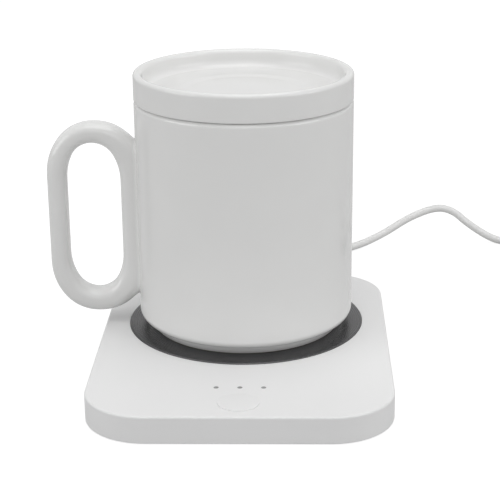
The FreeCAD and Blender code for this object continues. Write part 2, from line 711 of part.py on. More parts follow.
def make_power_transistor():
    """Transistor that switches the heater, with its metal tab."""
    x = BOARD_WIDTH / 2 - TRANSISTOR_FROM_EDGE
    y = BOARD_Y + TRANSISTOR_BACK
    body = box(TRANSISTOR_BODY, (x, y), BOARD_TOP)
    tab_y = y + (TRANSISTOR_BODY[1] + TRANSISTOR_TAB[1]) / 2 - METAL_LAP
    leg_y = y - (TRANSISTOR_BODY[1] + TRANSISTOR_LEG[1]) / 2 + METAL_LAP
    tab = box(TRANSISTOR_TAB, (x, tab_y), BOARD_TOP)
    legs = [box(TRANSISTOR_LEG, (x + side * TRANSISTOR_LEG_PITCH / 2, leg_y), BOARD_TOP)
            for side in (-1, 1)]
    return fuse_all([body, tab] + legs)


def make_board_chips():
    """Two rows of small chip resistors and capacitors, and one inductor."""
    parts = [box(INDUCTOR, (BOARD_WIDTH / 2 - INDUCTOR_FROM_EDGE, BOARD_Y - INDUCTOR_FORWARD), BOARD_TOP)]
    length, width, height = SMALL_CHIP
    for step in range(5):
        x = -BOARD_WIDTH / 2 + SMALL_CHIP_FROM_EDGE + step * SMALL_CHIP_PITCH
        parts.append(box((length, width, height), (x, BOARD_Y + SMALL_CHIP_ROW), BOARD_TOP))
        parts.append(box((width, length, height), (x, BOARD_Y - SMALL_CHIP_ROW), BOARD_TOP))
    return Part.makeCompound(parts)


def make_indicator_leds():
    """Three small light chips under the light pipes."""
    return Part.makeCompound([box((LED_LENGTH, LED_WIDTH, LED_HEIGHT), place, BOARD_TOP)
                              for place in light_places()])


def make_light_pipes():
    """Clear pins flush with the cover, each with a flange against its underside."""
    pins = []
    for place in light_places():
        flange = disc(LIGHT_FLANGE_RADIUS, CEILING - LIGHT_FLANGE_HEIGHT, CEILING, place)
        pin = disc(LIGHT_RADIUS, BOARD_TOP + LED_HEIGHT, COVER_TOP, place)
        pins.append(fuse_all([flange, pin]))
    return Part.makeCompound(pins)


def make_switch_body():
    """Tactile switch on the board, with a bore for its plunger."""
    body = box((SWITCH_SIDE, SWITCH_SIDE, SWITCH_HEIGHT), (0, BUTTON_Y), BOARD_TOP)
    bore = disc(PLUNGER_RADIUS + PLUNGER_GAP, BOARD_TOP + SWITCH_FLOOR, SWITCH_TOP + 1, (0, BUTTON_Y))
    return body.cut(bore)


def make_switch_plunger():
    """Plunger that moves with the button."""
    bottom = BOARD_TOP + SWITCH_FLOOR + BUTTON_TRAVEL + STOP_GAP
    return disc(PLUNGER_RADIUS, bottom, PLUNGER_TOP, (0, BUTTON_Y))


def make_button_cap():
    """Round cap flush with the cover, held in by its flange, with a stem on the plunger."""
    place = (0, BUTTON_Y)
    flange_middle = CEILING - BUTTON_FLANGE_HEIGHT / 2
    cap = disc(BUTTON_RADIUS, flange_middle, COVER_TOP, place)
    cap = cap.makeFillet(BUTTON_EDGE_ROUND, edges_at_height(cap, COVER_TOP))
    flange = disc(BUTTON_RADIUS + BUTTON_FLANGE_EXTRA, CEILING - BUTTON_FLANGE_HEIGHT, CEILING, place)
    stem = disc(BUTTON_STEM_RADIUS, PLUNGER_TOP, flange_middle, place)
    return fuse_all([cap, flange, stem])


def make_cord_stop():
    """Nylon tie drawn tight round the cord behind the strain relief, so that it can't pull out."""
    back = BACK_FACE - SIDE_WALL - BOOT_FLANGE_LENGTH - CORD_STOP_GAP
    start = Vector(0, back - CORD_STOP_WIDTH, CORD_EXIT_Z)
    along = Vector(0, 1, 0)
    band = Part.makeCylinder(CORD_RADIUS + CORD_STOP_THICKNESS, CORD_STOP_WIDTH, start, along)
    length, height = CORD_STOP_HEAD
    head = Part.makeBox(length, CORD_STOP_WIDTH, height, start + Vector(CORD_RADIUS, 0, -height / 2))
    bore = Part.makeCylinder(CORD_RADIUS, CORD_STOP_WIDTH, start, along)
    return fuse_all([band, head]).cut(bore)


def make_case_screws():
    """The four screws that hold the housing together."""
    return Part.makeCompound([screw(CASE_SCREW, Vector(x, y, case_screw_seat()))
                              for x, y in case_boss_places()])


def boot_shape(grow):
    """Outside of the strain relief: flange inside the wall, neck in the slot, tapered boot outside."""
    along = Vector(0, 1, 0)
    wall_inside = BACK_FACE - SIDE_WALL
    flange = Part.makeCylinder(BOOT_FLANGE_RADIUS + grow, BOOT_FLANGE_LENGTH + grow,
                               Vector(0, wall_inside - BOOT_FLANGE_LENGTH - grow, CORD_EXIT_Z), along)
    neck = Part.makeCylinder(BOOT_NECK_RADIUS + grow, SIDE_WALL + BOOT_FLANGE_LENGTH,
                             Vector(0, wall_inside - BOOT_FLANGE_LENGTH, CORD_EXIT_Z), along)
    boot = Part.makeCone(BOOT_RADIUS, BOOT_TIP_RADIUS, BOOT_LENGTH, Vector(0, BACK_FACE, CORD_EXIT_Z), along)
    return fuse_all([flange, neck, boot])


def make_strain_relief():
    """Soft boot moulded round the cord."""
    bore = Part.makeCylinder(CORD_RADIUS, BASE_DEPTH, Vector(0, 0, CORD_EXIT_Z), Vector(0, 1, 0))
    return boot_shape(0.0).cut(bore)


def make_cord_tail():
    """The cord's jacket inside the boot and the housing."""
    start = Vector(0, BACK_FACE - SIDE_WALL - CORD_END_INSIDE, CORD_EXIT_Z)
    return Part.makeCylinder(CORD_RADIUS, CORD_START_Y - start.y, start, Vector(0, 1, 0))


def make_supply_leads():
    """The cord's two cores, from the end of its jacket to the board, under the heater."""
    start = BACK_FACE - SIDE_WALL - CORD_END_INSIDE
    low = FLOOR_TOP + WIRE_RADIUS + SUPPLY_WIRE_FLOOR_GAP
    first, second, third = SUPPLY_WIRE_BENDS
    leads = []
    for side in (-1, 1):
        x = side * (WIRE_RADIUS + WIRE_SPACING)
        end = SUPPLY_WIRE_SIDE + side * SUPPLY_WIRE_PITCH / 2
        route = [(x, start, CORD_EXIT_Z), (x + first[0], start - first[1], CORD_EXIT_Z),
                 (x + second[0], start - second[1], low + 2 * SUPPLY_WIRE_FLOOR_GAP),
                 (x + third[0], start - third[1], low), (end, PLATE_Y, low),
                 (end + second[0], board_back() + second[1], low),
                 (end, board_back() - WIRE_LAP, BOARD_BOTTOM - WIRE_RADIUS)]
        leads.append(tube("supply lead", route, WIRE_RADIUS))
    return Part.makeCompound(leads)


def coil_point(turn):
    """Centre of the cord after so many turns of the coil."""
    whole = 2 * COIL_TURNS_PER_LAYER
    from_middle = turn - whole / 2
    # The radius falls and rises again at a steady rate, and turns smoothly where the spiral reverses.
    width = COIL_REVERSAL_WIDTH / (2 * math.pi)
    spread = math.sqrt(from_middle ** 2 + width ** 2)
    radius = COIL_MEAN_RADIUS + COIL_PITCH * (spread - COIL_TURNS_PER_LAYER / 2)
    climb = min(max(from_middle * 2 + 0.5, 0.0), 1.0)
    eased = climb * climb * (3 - 2 * climb)
    angle = math.radians(COIL_START_ANGLE) - 2 * math.pi * turn
    return Vector(COIL_CENTRE[0] + radius * math.cos(angle),
                  COIL_CENTRE[1] + radius * math.sin(angle),
                  COIL_BOTTOM + CORD_RADIUS + COIL_LAYER_STEP * eased)


def coil_tangent(turn):
    """Direction of the cord at a place on the coil."""
    step = 1e-4
    return (coil_point(turn + step) - coil_point(turn - step)).normalize()


def biarc(start, start_along, end, end_along):
    """Two arcs that meet smoothly and leave and arrive along the given directions."""
    chord = end - start
    both = start_along + end_along
    spread = 2 * (1 - start_along.dot(end_along))
    across = chord.dot(both)
    reach = (math.sqrt(across ** 2 + spread * chord.dot(chord)) - across) / spread
    first_apex = start + start_along * reach
    second_apex = end - end_along * reach
    middle = (first_apex + second_apex) / 2
    return [arc_from_apex(start, first_apex, middle), arc_from_apex(middle, second_apex, end)]


def make_cord_coil():
    """The put-away length: one tube that spirals in, climbs a layer and spirals out again."""
    quarter_turns = 4 * 2 * COIL_TURNS_PER_LAYER
    turns = [i / 4 for i in range(quarter_turns + 1)]
    start = coil_point(turns[0])
    end = coil_point(turns[-1])
    edges = [line(start - flat_tangent(turns[0]) * CORD_DIAMETER, start)]
    for first, second in zip(turns, turns[1:]):
        first_along = flat_tangent(first) if first == turns[0] else coil_tangent(first)
        second_along = flat_tangent(second) if second == turns[-1] else coil_tangent(second)
        edges += biarc(coil_point(first), first_along, coil_point(second), second_along)
    edges.append(line(end, end + flat_tangent(turns[-1]) * CORD_DIAMETER))
    wire = Part.Wire(edges)
    solid = sweep_round(wire, CORD_RADIUS)
    ratio = solid.Volume / (math.pi * CORD_RADIUS ** 2 * wire.Length)
    print("cord_coil: length %.1f, volume ratio %.4f, least gap to itself %.2f"
          % (wire.Length, ratio, coil_gap(wire)))
    return solid


def flat_tangent(turn):
    """Direction of the cord, kept level."""
    along = coil_tangent(turn)
    return Vector(along.x, along.y, 0).normalize()


def coil_gap(wire):
    """Least clear distance between parts of the cord more than half a turn apart along it."""
    spacing = 2.0
    points = wire.discretize(Distance=spacing)
    skip = int(math.pi * (COIL_MEAN_RADIUS - COIL_PITCH * COIL_TURNS_PER_LAYER / 2) / spacing)
    least = min((points[i] - points[j]).Length
                for i in range(len(points)) for j in range(i + skip, len(points)))
    return least - CORD_DIAMETER


def coil_start():
    """Where the lead meets the coil's straight start, and the direction there."""
    along = flat_tangent(0.0)
    return coil_point(0.0) - along * CORD_DIAMETER, along


def coil_end():
    """Where the coil's straight end meets the plug's lead, and the direction there."""
    last = 2.0 * COIL_TURNS_PER_LAYER
    along = flat_tangent(last)
    return coil_point(last) + along * CORD_DIAMETER, along


def make_cord_lead():
    """The free stretch on the table, over one low hump, from the boot to the coil."""
    meet, along = coil_start()
    before = meet - along * CORD_LAST_RUN
    route = [(0.0, CORD_START_Y, CORD_EXIT_Z)] + CORD_ROUTE + [tuple(before), tuple(meet)]
    print("cord route:", [tuple(round(value, 2) for value in point) for point in route])
    return tube("cord_lead", route, CORD_RADIUS)


def plug_frame():
    """Where the plug's nose begins, and the direction it points in."""
    start, along = coil_end()
    aside = Vector(along.y, -along.x, 0)
    low = Vector(0, 0, PLUG_BODY[2] / 2 - start.z)
    nose = start + along * (2 * PLUG_LEAD_RUN) - aside * PLUG_ASIDE + low
    pointing = (along - aside * PLUG_TURN).normalize()
    return nose, pointing


def make_plug_lead():
    """Short free stretch from the coil's end down to the plug."""
    start, along = coil_end()
    nose, pointing = plug_frame()
    entry = nose - pointing * PLUG_LEAD_STRAIGHT
    leaving = start + along * PLUG_LEAD_STRAIGHT
    route = [tuple(start), tuple(leaving), tuple(entry), tuple(nose)]
    print("plug lead route:", [tuple(round(value, 2) for value in point) for point in route])
    return tube("plug_lead", route, CORD_RADIUS)


def place_plug(shape):
    """Turn and move a piece that was made at the origin along +X to the plug's place."""
    nose, pointing = plug_frame()
    shape.rotate(Vector(0, 0, 0), Vector(0, 0, 1), math.degrees(math.atan2(pointing.y, pointing.x)))
    shape.translate(nose)
    return shape


def shell_block(shrink, start, end):
    """Prism with the plan of the plug's metal shell, less its sheet."""
    width = SHELL_OUTSIDE[1] - 2 * shrink
    height = SHELL_OUTSIDE[2] - 2 * shrink
    block = Part.makeBox(end - start, width, height, Vector(start, -width / 2, -height / 2))
    along = [edge for edge in block.Edges if edge.BoundBox.XLength > (end - start) / 2]
    return block.makeFillet(max(SHELL_EDGE_ROUND - shrink, SHELL_SHEET / 2), along)


def plug_ends():
    """X of the body's back, its front face and the shell's tip."""
    back = PLUG_NOSE_LENGTH
    front = back + PLUG_BODY[0]
    return back, front, front + SHELL_OUTSIDE[0]


def make_plug_body():
    """Moulded grip with a tapered nose round the cord and a pocket for the shell."""
    back, front, _ = plug_ends()
    grip = Part.makeBox(PLUG_BODY[0], PLUG_BODY[1], PLUG_BODY[2],
                        Vector(back, -PLUG_BODY[1] / 2, -PLUG_BODY[2] / 2))
    grip = grip.makeFillet(PLUG_ROUND, grip.Edges)
    nose = Part.makeCone(PLUG_NOSE_RADIUS - PLUG_NOSE_TAPER, PLUG_NOSE_RADIUS, back + PLUG_ROUND,
                         Vector(0, 0, 0), Vector(1, 0, 0))
    body = fuse_all([grip, nose])
    return place_plug(body.cut(shell_block(0.0, front - SHELL_DEPTH_IN_BODY, front + 1)))


def make_plug_shell():
    """Folded metal shell with its two latch windows on each flat side."""
    _, front, tip = plug_ends()
    start = front - SHELL_DEPTH_IN_BODY
    shell = shell_block(0.0, start, tip).cut(shell_block(SHELL_SHEET, start - 1, tip + 1))
    for side in (-1, 1):
        corner = Vector(front + LATCH_WINDOW_REACH, side * LATCH_WINDOW_OFFSET - LATCH_WINDOW_SIDE / 2,
                        -SHELL_OUTSIDE[2] / 2 - 1)
        window = Part.makeBox(LATCH_WINDOW_SIDE, LATCH_WINDOW_SIDE, SHELL_OUTSIDE[2] + 2, corner)
        shell = shell.cut(window)
    return place_plug(shell)


def make_plug_tongue():
    """Plastic tongue inside the shell, against one of its flat sides."""
    _, front, tip = plug_ends()
    start = front - SHELL_DEPTH_IN_BODY
    width = SHELL_OUTSIDE[1] - 2 * SHELL_SHEET - 2 * TONGUE_GAP
    bottom = -SHELL_OUTSIDE[2] / 2 + SHELL_SHEET
    tongue = Part.makeBox(tip - TONGUE_SETBACK - start, width, TONGUE_THICKNESS,
                          Vector(start, -width / 2, bottom))
    return place_plug(tongue)


def make_plug_contacts():
    """Four gold strips on the tongue, the outer two longer."""
    _, front, tip = plug_ends()
    top = -SHELL_OUTSIDE[2] / 2 + SHELL_SHEET + TONGUE_THICKNESS
    strips = []
    for y, setback in CONTACT_ROWS:
        strips.append(Part.makeBox(tip - setback - front, CONTACT_WIDTH, CONTACT_THICKNESS,
                                   Vector(front, y - CONTACT_WIDTH / 2, top)))
    return place_plug(Part.makeCompound(strips))


def make_coil_tie():
    """Flat band closed round one side of the coil."""
    inner_radius = COIL_MEAN_RADIUS - COIL_PITCH * COIL_TURNS_PER_LAYER / 2 - CORD_RADIUS
    outer_radius = COIL_MEAN_RADIUS + COIL_PITCH * COIL_TURNS_PER_LAYER / 2 + CORD_RADIUS
    height = COIL_LAYER_STEP + CORD_DIAMETER + 2 * TIE_GAP
    width = outer_radius - inner_radius + 2 * TIE_GAP
    block = Part.makeBox(width + 2 * TIE_THICKNESS, TIE_WIDTH, height + 2 * TIE_THICKNESS,
                         Vector(inner_radius - TIE_GAP - TIE_THICKNESS, -TIE_WIDTH / 2, 0))
    hole = Part.makeBox(width, TIE_WIDTH + 2, height,
                        Vector(inner_radius - TIE_GAP, -TIE_WIDTH / 2 - 1, TIE_THICKNESS))
    tie = block.cut(hole)
    tie.rotate(Vector(0, 0, 0), Vector(0, 0, 1), TIE_ANGLE)
    tie.translate(Vector(COIL_CENTRE[0], COIL_CENTRE[1], 0))
    return tie


def mug_outline():
    """Closed half section of the mug, from the axis outwards and back over the inside."""
    bottom = MUG_BOTTOM
    top = MUG_TOP
    body_edge = bottom + MUG_FOOT_HEIGHT
    inner = MUG_RADIUS - MUG_WALL
    floor = bottom + MUG_FLOOR
    corner_centre = Vector(MUG_RADIUS - MUG_CORNER_ROUND, 0, 0)
    drop = math.acos((MUG_BODY_EDGE_RADIUS - corner_centre.x) / MUG_CORNER_ROUND)
    corner_centre.z = body_edge + MUG_CORNER_ROUND * math.sin(drop)
    half = drop / 2
    corner_middle = corner_centre + Vector(math.cos(half), 0, -math.sin(half)) * MUG_CORNER_ROUND
    hollow = MUG_FOOT_RADIUS - FOOT_RING_WIDTH
    rim = MUG_RIM_ROUND
    inside_rim = MUG_WALL - rim - MUG_RIM_FLAT
    points = [
        line(Vector(0, 0, bottom + FOOT_HOLLOW_DEPTH), Vector(hollow, 0, bottom + FOOT_HOLLOW_DEPTH)),
        line(Vector(hollow, 0, bottom + FOOT_HOLLOW_DEPTH), Vector(hollow + FOOT_HOLLOW_DEPTH, 0, bottom)),
        line(Vector(hollow + FOOT_HOLLOW_DEPTH, 0, bottom), Vector(MUG_FOOT_RADIUS, 0, bottom)),
        line(Vector(MUG_FOOT_RADIUS, 0, bottom), Vector(MUG_FOOT_TOP_RADIUS, 0, body_edge)),
        line(Vector(MUG_FOOT_TOP_RADIUS, 0, body_edge), Vector(MUG_BODY_EDGE_RADIUS, 0, body_edge)),
        Part.Arc(Vector(MUG_BODY_EDGE_RADIUS, 0, body_edge), corner_middle,
                 Vector(MUG_RADIUS, 0, corner_centre.z)).toShape(),
        line(Vector(MUG_RADIUS, 0, corner_centre.z), Vector(MUG_RADIUS, 0, top - rim)),
        quarter_arc(Vector(MUG_RADIUS - rim, 0, top - rim), rim, 0),
        line(Vector(MUG_RADIUS - rim, 0, top), Vector(inner + inside_rim, 0, top)),
        quarter_arc(Vector(inner + inside_rim, 0, top - inside_rim), inside_rim, 90),
        line(Vector(inner, 0, top - inside_rim), Vector(inner, 0, floor + MUG_INSIDE_ROUND)),
        quarter_arc(Vector(inner - MUG_INSIDE_ROUND, 0, floor + MUG_INSIDE_ROUND), MUG_INSIDE_ROUND, 270),
        line(Vector(inner - MUG_INSIDE_ROUND, 0, floor), Vector(0, 0, floor)),
        line(Vector(0, 0, floor), Vector(0, 0, bottom + FOOT_HOLLOW_DEPTH)),
    ]
    return points


def quarter_arc(centre, radius, start):
    """Quarter circle in the XZ plane, from the start angle on for 90 degrees."""
    angles = [math.radians(start + step) for step in (0, 45, 90)]
    ends = [centre + Vector(math.cos(angle), 0, math.sin(angle)) * radius for angle in angles]
    return Part.Arc(*ends).toShape()


def make_mug_body():
    """Glazed mug with a foot ring, set in below a rounded lower edge."""
    return revolve(mug_outline(), PLATE_CENTRE)


def handle_outer_outline():
    """Outer outline of the handle: straight grip, oval ends, sloping into the mug."""
    root = MUG_RADIUS - MUG_WALL / 2
    width = HANDLE_REACH - root
    across, rise = [share * width for share in HANDLE_OUTER_CORNER]
    slope_run, slope_fall = [share * width for share in HANDLE_SLOPE]
    slope_x = -root - slope_run
    end_cut = math.hypot(across, rise) / 2
    slope_cut = math.hypot(slope_run, slope_fall) / 2
    corners = [Vector(-root, 0, HANDLE_BOTTOM + slope_fall), Vector(slope_x, 0, HANDLE_BOTTOM),
               Vector(-HANDLE_REACH + across, 0, HANDLE_BOTTOM),
               Vector(-HANDLE_REACH, 0, HANDLE_BOTTOM + rise),
               Vector(-HANDLE_REACH, 0, HANDLE_TOP - rise),
               Vector(-HANDLE_REACH + across, 0, HANDLE_TOP),
               Vector(slope_x, 0, HANDLE_TOP), Vector(-root, 0, HANDLE_TOP - slope_fall)]
    cuts = [0, slope_cut, end_cut, end_cut, end_cut, end_cut, slope_cut, 0]
    return rounded_polygon(corners, cuts)


def handle_inner_outline():
    """Outline of the finger hole."""
    left = -HANDLE_REACH + HANDLE_GRIP_THICKNESS
    right = -MUG_RADIUS - HANDLE_ROOT_THICKNESS
    across, rise = [share * (right - left) for share in HANDLE_HOLE_CORNER]
    low = HANDLE_BOTTOM + HANDLE_BOTTOM_THICKNESS
    high = HANDLE_TOP - HANDLE_TOP_THICKNESS
    cut = math.hypot(across, rise) / 2
    corners = [Vector(right, 0, low + rise), Vector(right - across, 0, low),
               Vector(left + across, 0, low), Vector(left, 0, low + rise),
               Vector(left, 0, high - rise), Vector(left + across, 0, high),
               Vector(right - across, 0, high), Vector(right, 0, high - rise)]
    return rounded_polygon(corners, [cut] * len(corners))


def make_mug_handle():
    """Closed ring of a handle, cut to the mug's wall."""
    across = Vector(0, HANDLE_WIDTH, 0)
    outer = Part.Face(handle_outer_outline()).extrude(across)
    hole = Part.Face(handle_inner_outline()).extrude(across)
    ring = outer.cut(hole)
    ring.translate(Vector(0, -HANDLE_WIDTH / 2, 0))
    rims = [edge for edge in ring.Edges
            if edge.BoundBox.YLength < 1e-4 and edge.BoundBox.XMin < -MUG_RADIUS + MUG_WALL / 2 - 1e-3]
    thinnest = min(HANDLE_GRIP_THICKNESS, HANDLE_TOP_THICKNESS, HANDLE_BOTTOM_THICKNESS, HANDLE_WIDTH)
    ring = ring.makeFillet(min(HANDLE_EDGE_ROUND, HANDLE_ROUND_SHARE * thinnest), rims)
    ring.translate(PLATE_CENTRE)
    return ring.cut(disc(MUG_RADIUS, 0, MUG_TOP, (0, PLATE_Y)))


def make_lid():
    """Glazed lid: a shallow tray on top, and a ring below that drops into the mug."""
    bottom = MUG_TOP
    top = LID_TOP
    floor = bottom + LID_FLOOR
    outside = LID_RADIUS
    plug_outside = MUG_RADIUS - MUG_WALL - LID_PLUG_GAP
    plug_inside = plug_outside - LID_PLUG_WIDTH
    tray = LID_RADIUS - LID_RIM_WIDTH
    rim = LID_RIM_ROUND
    inner_rim = LID_RIM_WIDTH - rim - LID_RIM_FLAT
    low = LID_LOWER_ROUND
    plug_low = bottom - LID_PLUG_DEPTH
    fillet = LID_FLOOR_ROUND
    points = [
        line(Vector(0, 0, bottom), Vector(plug_inside, 0, bottom)),
        line(Vector(plug_inside, 0, bottom), Vector(plug_inside, 0, plug_low)),
        line(Vector(plug_inside, 0, plug_low), Vector(plug_outside, 0, plug_low)),
        line(Vector(plug_outside, 0, plug_low), Vector(plug_outside, 0, bottom)),
        line(Vector(plug_outside, 0, bottom), Vector(outside - low, 0, bottom)),
        quarter_arc(Vector(outside - low, 0, bottom + low), low, 270),
        line(Vector(outside, 0, bottom + low), Vector(outside, 0, top - rim)),
        quarter_arc(Vector(outside - rim, 0, top - rim), rim, 0),
        line(Vector(outside - rim, 0, top), Vector(tray + inner_rim, 0, top)),
        quarter_arc(Vector(tray + inner_rim, 0, top - inner_rim), inner_rim, 90),
        line(Vector(tray, 0, top - inner_rim), Vector(tray, 0, floor + fillet)),
        quarter_arc(Vector(tray - fillet, 0, floor + fillet), fillet, 270),
        line(Vector(tray - fillet, 0, floor), Vector(LID_STEP_RADIUS + LID_STEP_HEIGHT, 0, floor)),
        line(Vector(LID_STEP_RADIUS + LID_STEP_HEIGHT, 0, floor),
             Vector(LID_STEP_RADIUS, 0, floor - LID_STEP_HEIGHT)),
        line(Vector(LID_STEP_RADIUS, 0, floor - LID_STEP_HEIGHT), Vector(0, 0, floor - LID_STEP_HEIGHT)),
        line(Vector(0, 0, floor - LID_STEP_HEIGHT), Vector(0, 0, bottom)),
    ]
    return revolve(points, PLATE_CENTRE)


NODES = {
    "top_cover": make_top_cover,
    "bottom_cover": make_bottom_cover,
    "non_slip_pad": make_non_slip_pad,
    "heating_plate": make_heating_plate,
    "plate_gasket": make_plate_gasket,
    "heater_film": make_heater_film,
    "insulation_pad": make_insulation_pad,
    "clamp_plate": make_clamp_plate,
    "heater_screws": make_heater_screws,
    "thermistor": make_thermistor,
    "thermistor_leads": make_thermistor_leads,
    "thermal_fuse": make_thermal_fuse,
    "fuse_clip": make_fuse_clip,
    "heater_leads": make_heater_leads,
    "circuit_board": make_circuit_board,
    "board_screws": make_board_screws,
    "microcontroller": make_microcontroller,
    "power_transistor": make_power_transistor,
    "board_chips": make_board_chips,
    "indicator_leds": make_indicator_leds,
    "light_pipes": make_light_pipes,
    "switch_body": make_switch_body,
    "switch_plunger": make_switch_plunger,
    "button_cap": make_button_cap,
    "cord_stop": make_cord_stop,
    "case_screws": make_case_screws,
    "strain_relief": make_strain_relief,
    "cord_tail": make_cord_tail,
    "supply_leads": make_supply_leads,
    "cord_lead": make_cord_lead,
    "cord_coil": make_cord_coil,
    "coil_tie": make_coil_tie,
    "plug_lead": make_plug_lead,
    "plug_body": make_plug_body,
    "plug_shell": make_plug_shell,
    "plug_tongue": make_plug_tongue,
    "plug_contacts": make_plug_contacts,
    "mug_body": make_mug_body,
    "mug_handle": make_mug_handle,
    "lid": make_lid,
}


def main():
    """Build each node and write it to its own file."""
    os.makedirs("parts", exist_ok=True)
    for name, make in NODES.items():
        shape = make()
        solids = shape.Solids
        if not solids or not shape.isValid():
            raise ValueError("%s is not a valid solid" % name)
        shape.exportStep("parts/%s.step" % name)
        size = shape.BoundBox
        print("%-20s solids %2d  volume %9.1f  x %.1f..%.1f  y %.1f..%.1f  z %.2f..%.2f"
              % (name, len(solids), shape.Volume, size.XMin, size.XMax, size.YMin, size.YMax,
                 size.ZMin, size.ZMax))


main()
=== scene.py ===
import math

import bpy
import numpy as np
from bpy.props import FloatProperty, FloatVectorProperty, IntProperty, PointerProperty
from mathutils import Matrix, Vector


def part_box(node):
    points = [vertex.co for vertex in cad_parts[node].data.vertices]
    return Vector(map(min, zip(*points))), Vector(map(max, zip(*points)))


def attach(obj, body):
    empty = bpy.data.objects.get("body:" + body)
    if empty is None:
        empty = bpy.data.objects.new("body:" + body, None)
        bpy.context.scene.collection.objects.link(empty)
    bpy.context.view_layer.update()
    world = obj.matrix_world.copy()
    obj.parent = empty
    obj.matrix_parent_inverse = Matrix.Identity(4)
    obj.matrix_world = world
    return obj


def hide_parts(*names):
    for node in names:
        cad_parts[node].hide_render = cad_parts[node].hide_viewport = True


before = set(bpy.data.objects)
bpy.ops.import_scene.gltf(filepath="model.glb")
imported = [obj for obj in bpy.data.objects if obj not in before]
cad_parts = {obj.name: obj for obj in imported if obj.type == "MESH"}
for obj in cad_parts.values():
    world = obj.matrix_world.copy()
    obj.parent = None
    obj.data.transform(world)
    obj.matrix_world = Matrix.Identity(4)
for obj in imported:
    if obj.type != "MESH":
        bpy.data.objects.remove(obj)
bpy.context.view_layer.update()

bl_info = {
    "name": "Mug Warmer",
    "version": (1, 0, 0),
    "blender": (4, 5, 0),
    "location": "View3D > Sidebar > Mug Warmer",
    "description": "Dresses a packed mug warmer with its ceramic, plastic, cord and plate finishes",
    "category": "Add Mesh",
}

# Everything is in metres: +Z up, the floor at z = 0, -Y the front with the button.
MM = 0.001
COVER_LOW, COVER_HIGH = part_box("top_cover")
MUG_LOW, MUG_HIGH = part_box("mug_body")
LID_LOW, LID_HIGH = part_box("lid")
HANDLE_LOW, HANDLE_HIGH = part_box("mug_handle")
BUTTON_LOW, BUTTON_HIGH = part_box("button_cap")
BOOT_LOW, BOOT_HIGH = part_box("strain_relief")
CENTRE_Y = (MUG_LOW.y + MUG_HIGH.y) / 2
MUG_RADIUS = (MUG_HIGH.x - MUG_LOW.x) / 2

# The camera, worked out from the edges of the real object: place, tilt down, turn, and the
# picture's centre.
CAMERA_PLACE = (0.02124, -0.53134, 0.23154)
CAMERA_DOWN = 0.335
CAMERA_TURN = 0.005
FOCAL_PIXELS = 1474.9
PICTURE_PIXELS = 500
CENTRE_PIXEL_X = 292.32
SENSOR_WIDTH = 36.0

# The cord's route in millimetres, from the strain relief over the floor to the coil, and from the
# coil to the plug: the same points as the part's own.
CORD_ROUTE = [
    (0.0, 84.1, 4.6), (0.0, 92.0, 4.6), (2.5, 101.5, 2.6), (9.0, 111.0, 1.75), (20.0, 119.0, 1.75),
    (34.0, 126.0, 1.75), (48.4, 133.3, 2.0), (62.3, 143.5, 5.2), (73.8, 152.5, 10.0),
    (87.7, 157.1, 14.3), (96.2, 155.5, 13.1), (103.1, 151.0, 7.8), (115.1, 144.1, 1.75),
    (124.0, 141.5, 1.75), (137.5, 134.9, 1.75), (150.11, 129.67, 2.45), (161.04, 124.72, 2.45),
]
PLUG_ROUTE = [(167.48, 121.98, 6.55), (174.92, 119.03, 6.55), (184.76, 114.82, 3.7), (192.75, 115.18, 3.7)]
COIL_CENTRE = (153.5, 98.0)
COIL_START_ANGLE = 67.0
COIL_MEAN_RADIUS = 19.25
COIL_PITCH = 4.1
COIL_LAYER_STEP = 4.1
COIL_TURNS_PER_LAYER = 4
COIL_REVERSAL_WIDTH = 0.6
COIL_BOTTOM = 0.7
COIL_POINTS_PER_TURN = 16

# Corners of the handle's two outlines, along X and Z: the outer ones and the slopes into the wall
# as shares of the ring's width, those of the finger hole as shares of the hole's width.
OUTER_CORNER = (0.275, 0.335)
OUTER_SLOPE = (0.284, 0.2595)
HOLE_CORNER = (0.245, 0.455)

# The strain relief's grooves start at this share of its length and fill this share of it.
GROOVES_START = 0.12
GROOVES_SHARE = 0.72

# The strap's long edges are cut back by this share of half its thickness.
STRAP_EDGE_CUT = 0.7

# Edges sharper than these angles, in degrees, stay crisp.
SHARP_GLAZED = 60.0
SHARP_MOULDED = 40.0
SHARP_STRAP = 30.0

# A wave pattern of scale 1 repeats after a twentieth of a full turn, in metres.
WAVE_AT_ONE_METRE = 2 * math.pi / 20

# The studio: the floor's half width, the level it shows the camera where nothing shades it, the
# point that the lamps aim at, and each lamp's name, setting, place, and width and height.
FLOOR_HALF_WIDTH = 6.0
FLOOR_LEVEL = 1.15
OBJECT_MIDDLE = (0.0, 0.0, 0.05)
LAMPS = [
    ("Key lamp", "key", (0.08, -0.1, 1.4), (1.2, 1.0)),
    ("Front lamp", "front", (0.15, -1.3, 0.7), (0.9, 0.6)),
    ("Back lamp", "back", (0.0, 1.0, 1.3), (1.2, 0.7)),
    ("Left lamp", "left", (-1.2, -0.5, 0.5), (0.9, 0.7)),
    ("Right lamp", "right", (1.2, -0.5, 0.5), (0.9, 0.7)),
]


def linear(hex_colour):
    """Linear red, green, blue and alpha of an sRGB hex colour."""
    parts = [int(hex_colour[i:i + 2], 16) / 255 for i in (1, 3, 5)]
    return tuple(c / 12.92 if c <= 0.04045 else ((c + 0.055) / 1.055) ** 2.4 for c in parts) + (1.0,)


def shade(colour, factor):
    """A colour made darker or lighter by a factor."""
    return tuple(min(c * factor, 1.0) for c in colour[:3]) + (1.0,)


def colour_property(name, description, hex_colour):
    """A colour setting whose default is an sRGB hex value."""
    return FloatVectorProperty(name=name, description=description, subtype="COLOR", size=4,
                               min=0.0, max=1.0, default=linear(hex_colour))


def length_property(name, description, millimetres):
    """A length setting, given in millimetres and kept in metres."""
    return FloatProperty(name=name, description=description, unit="LENGTH", precision=5,
                         default=millimetres * MM)


def lamp_property(name, description, watts):
    """The power of a lamp."""
    return FloatProperty(name=name, description=description, subtype="POWER", default=watts)


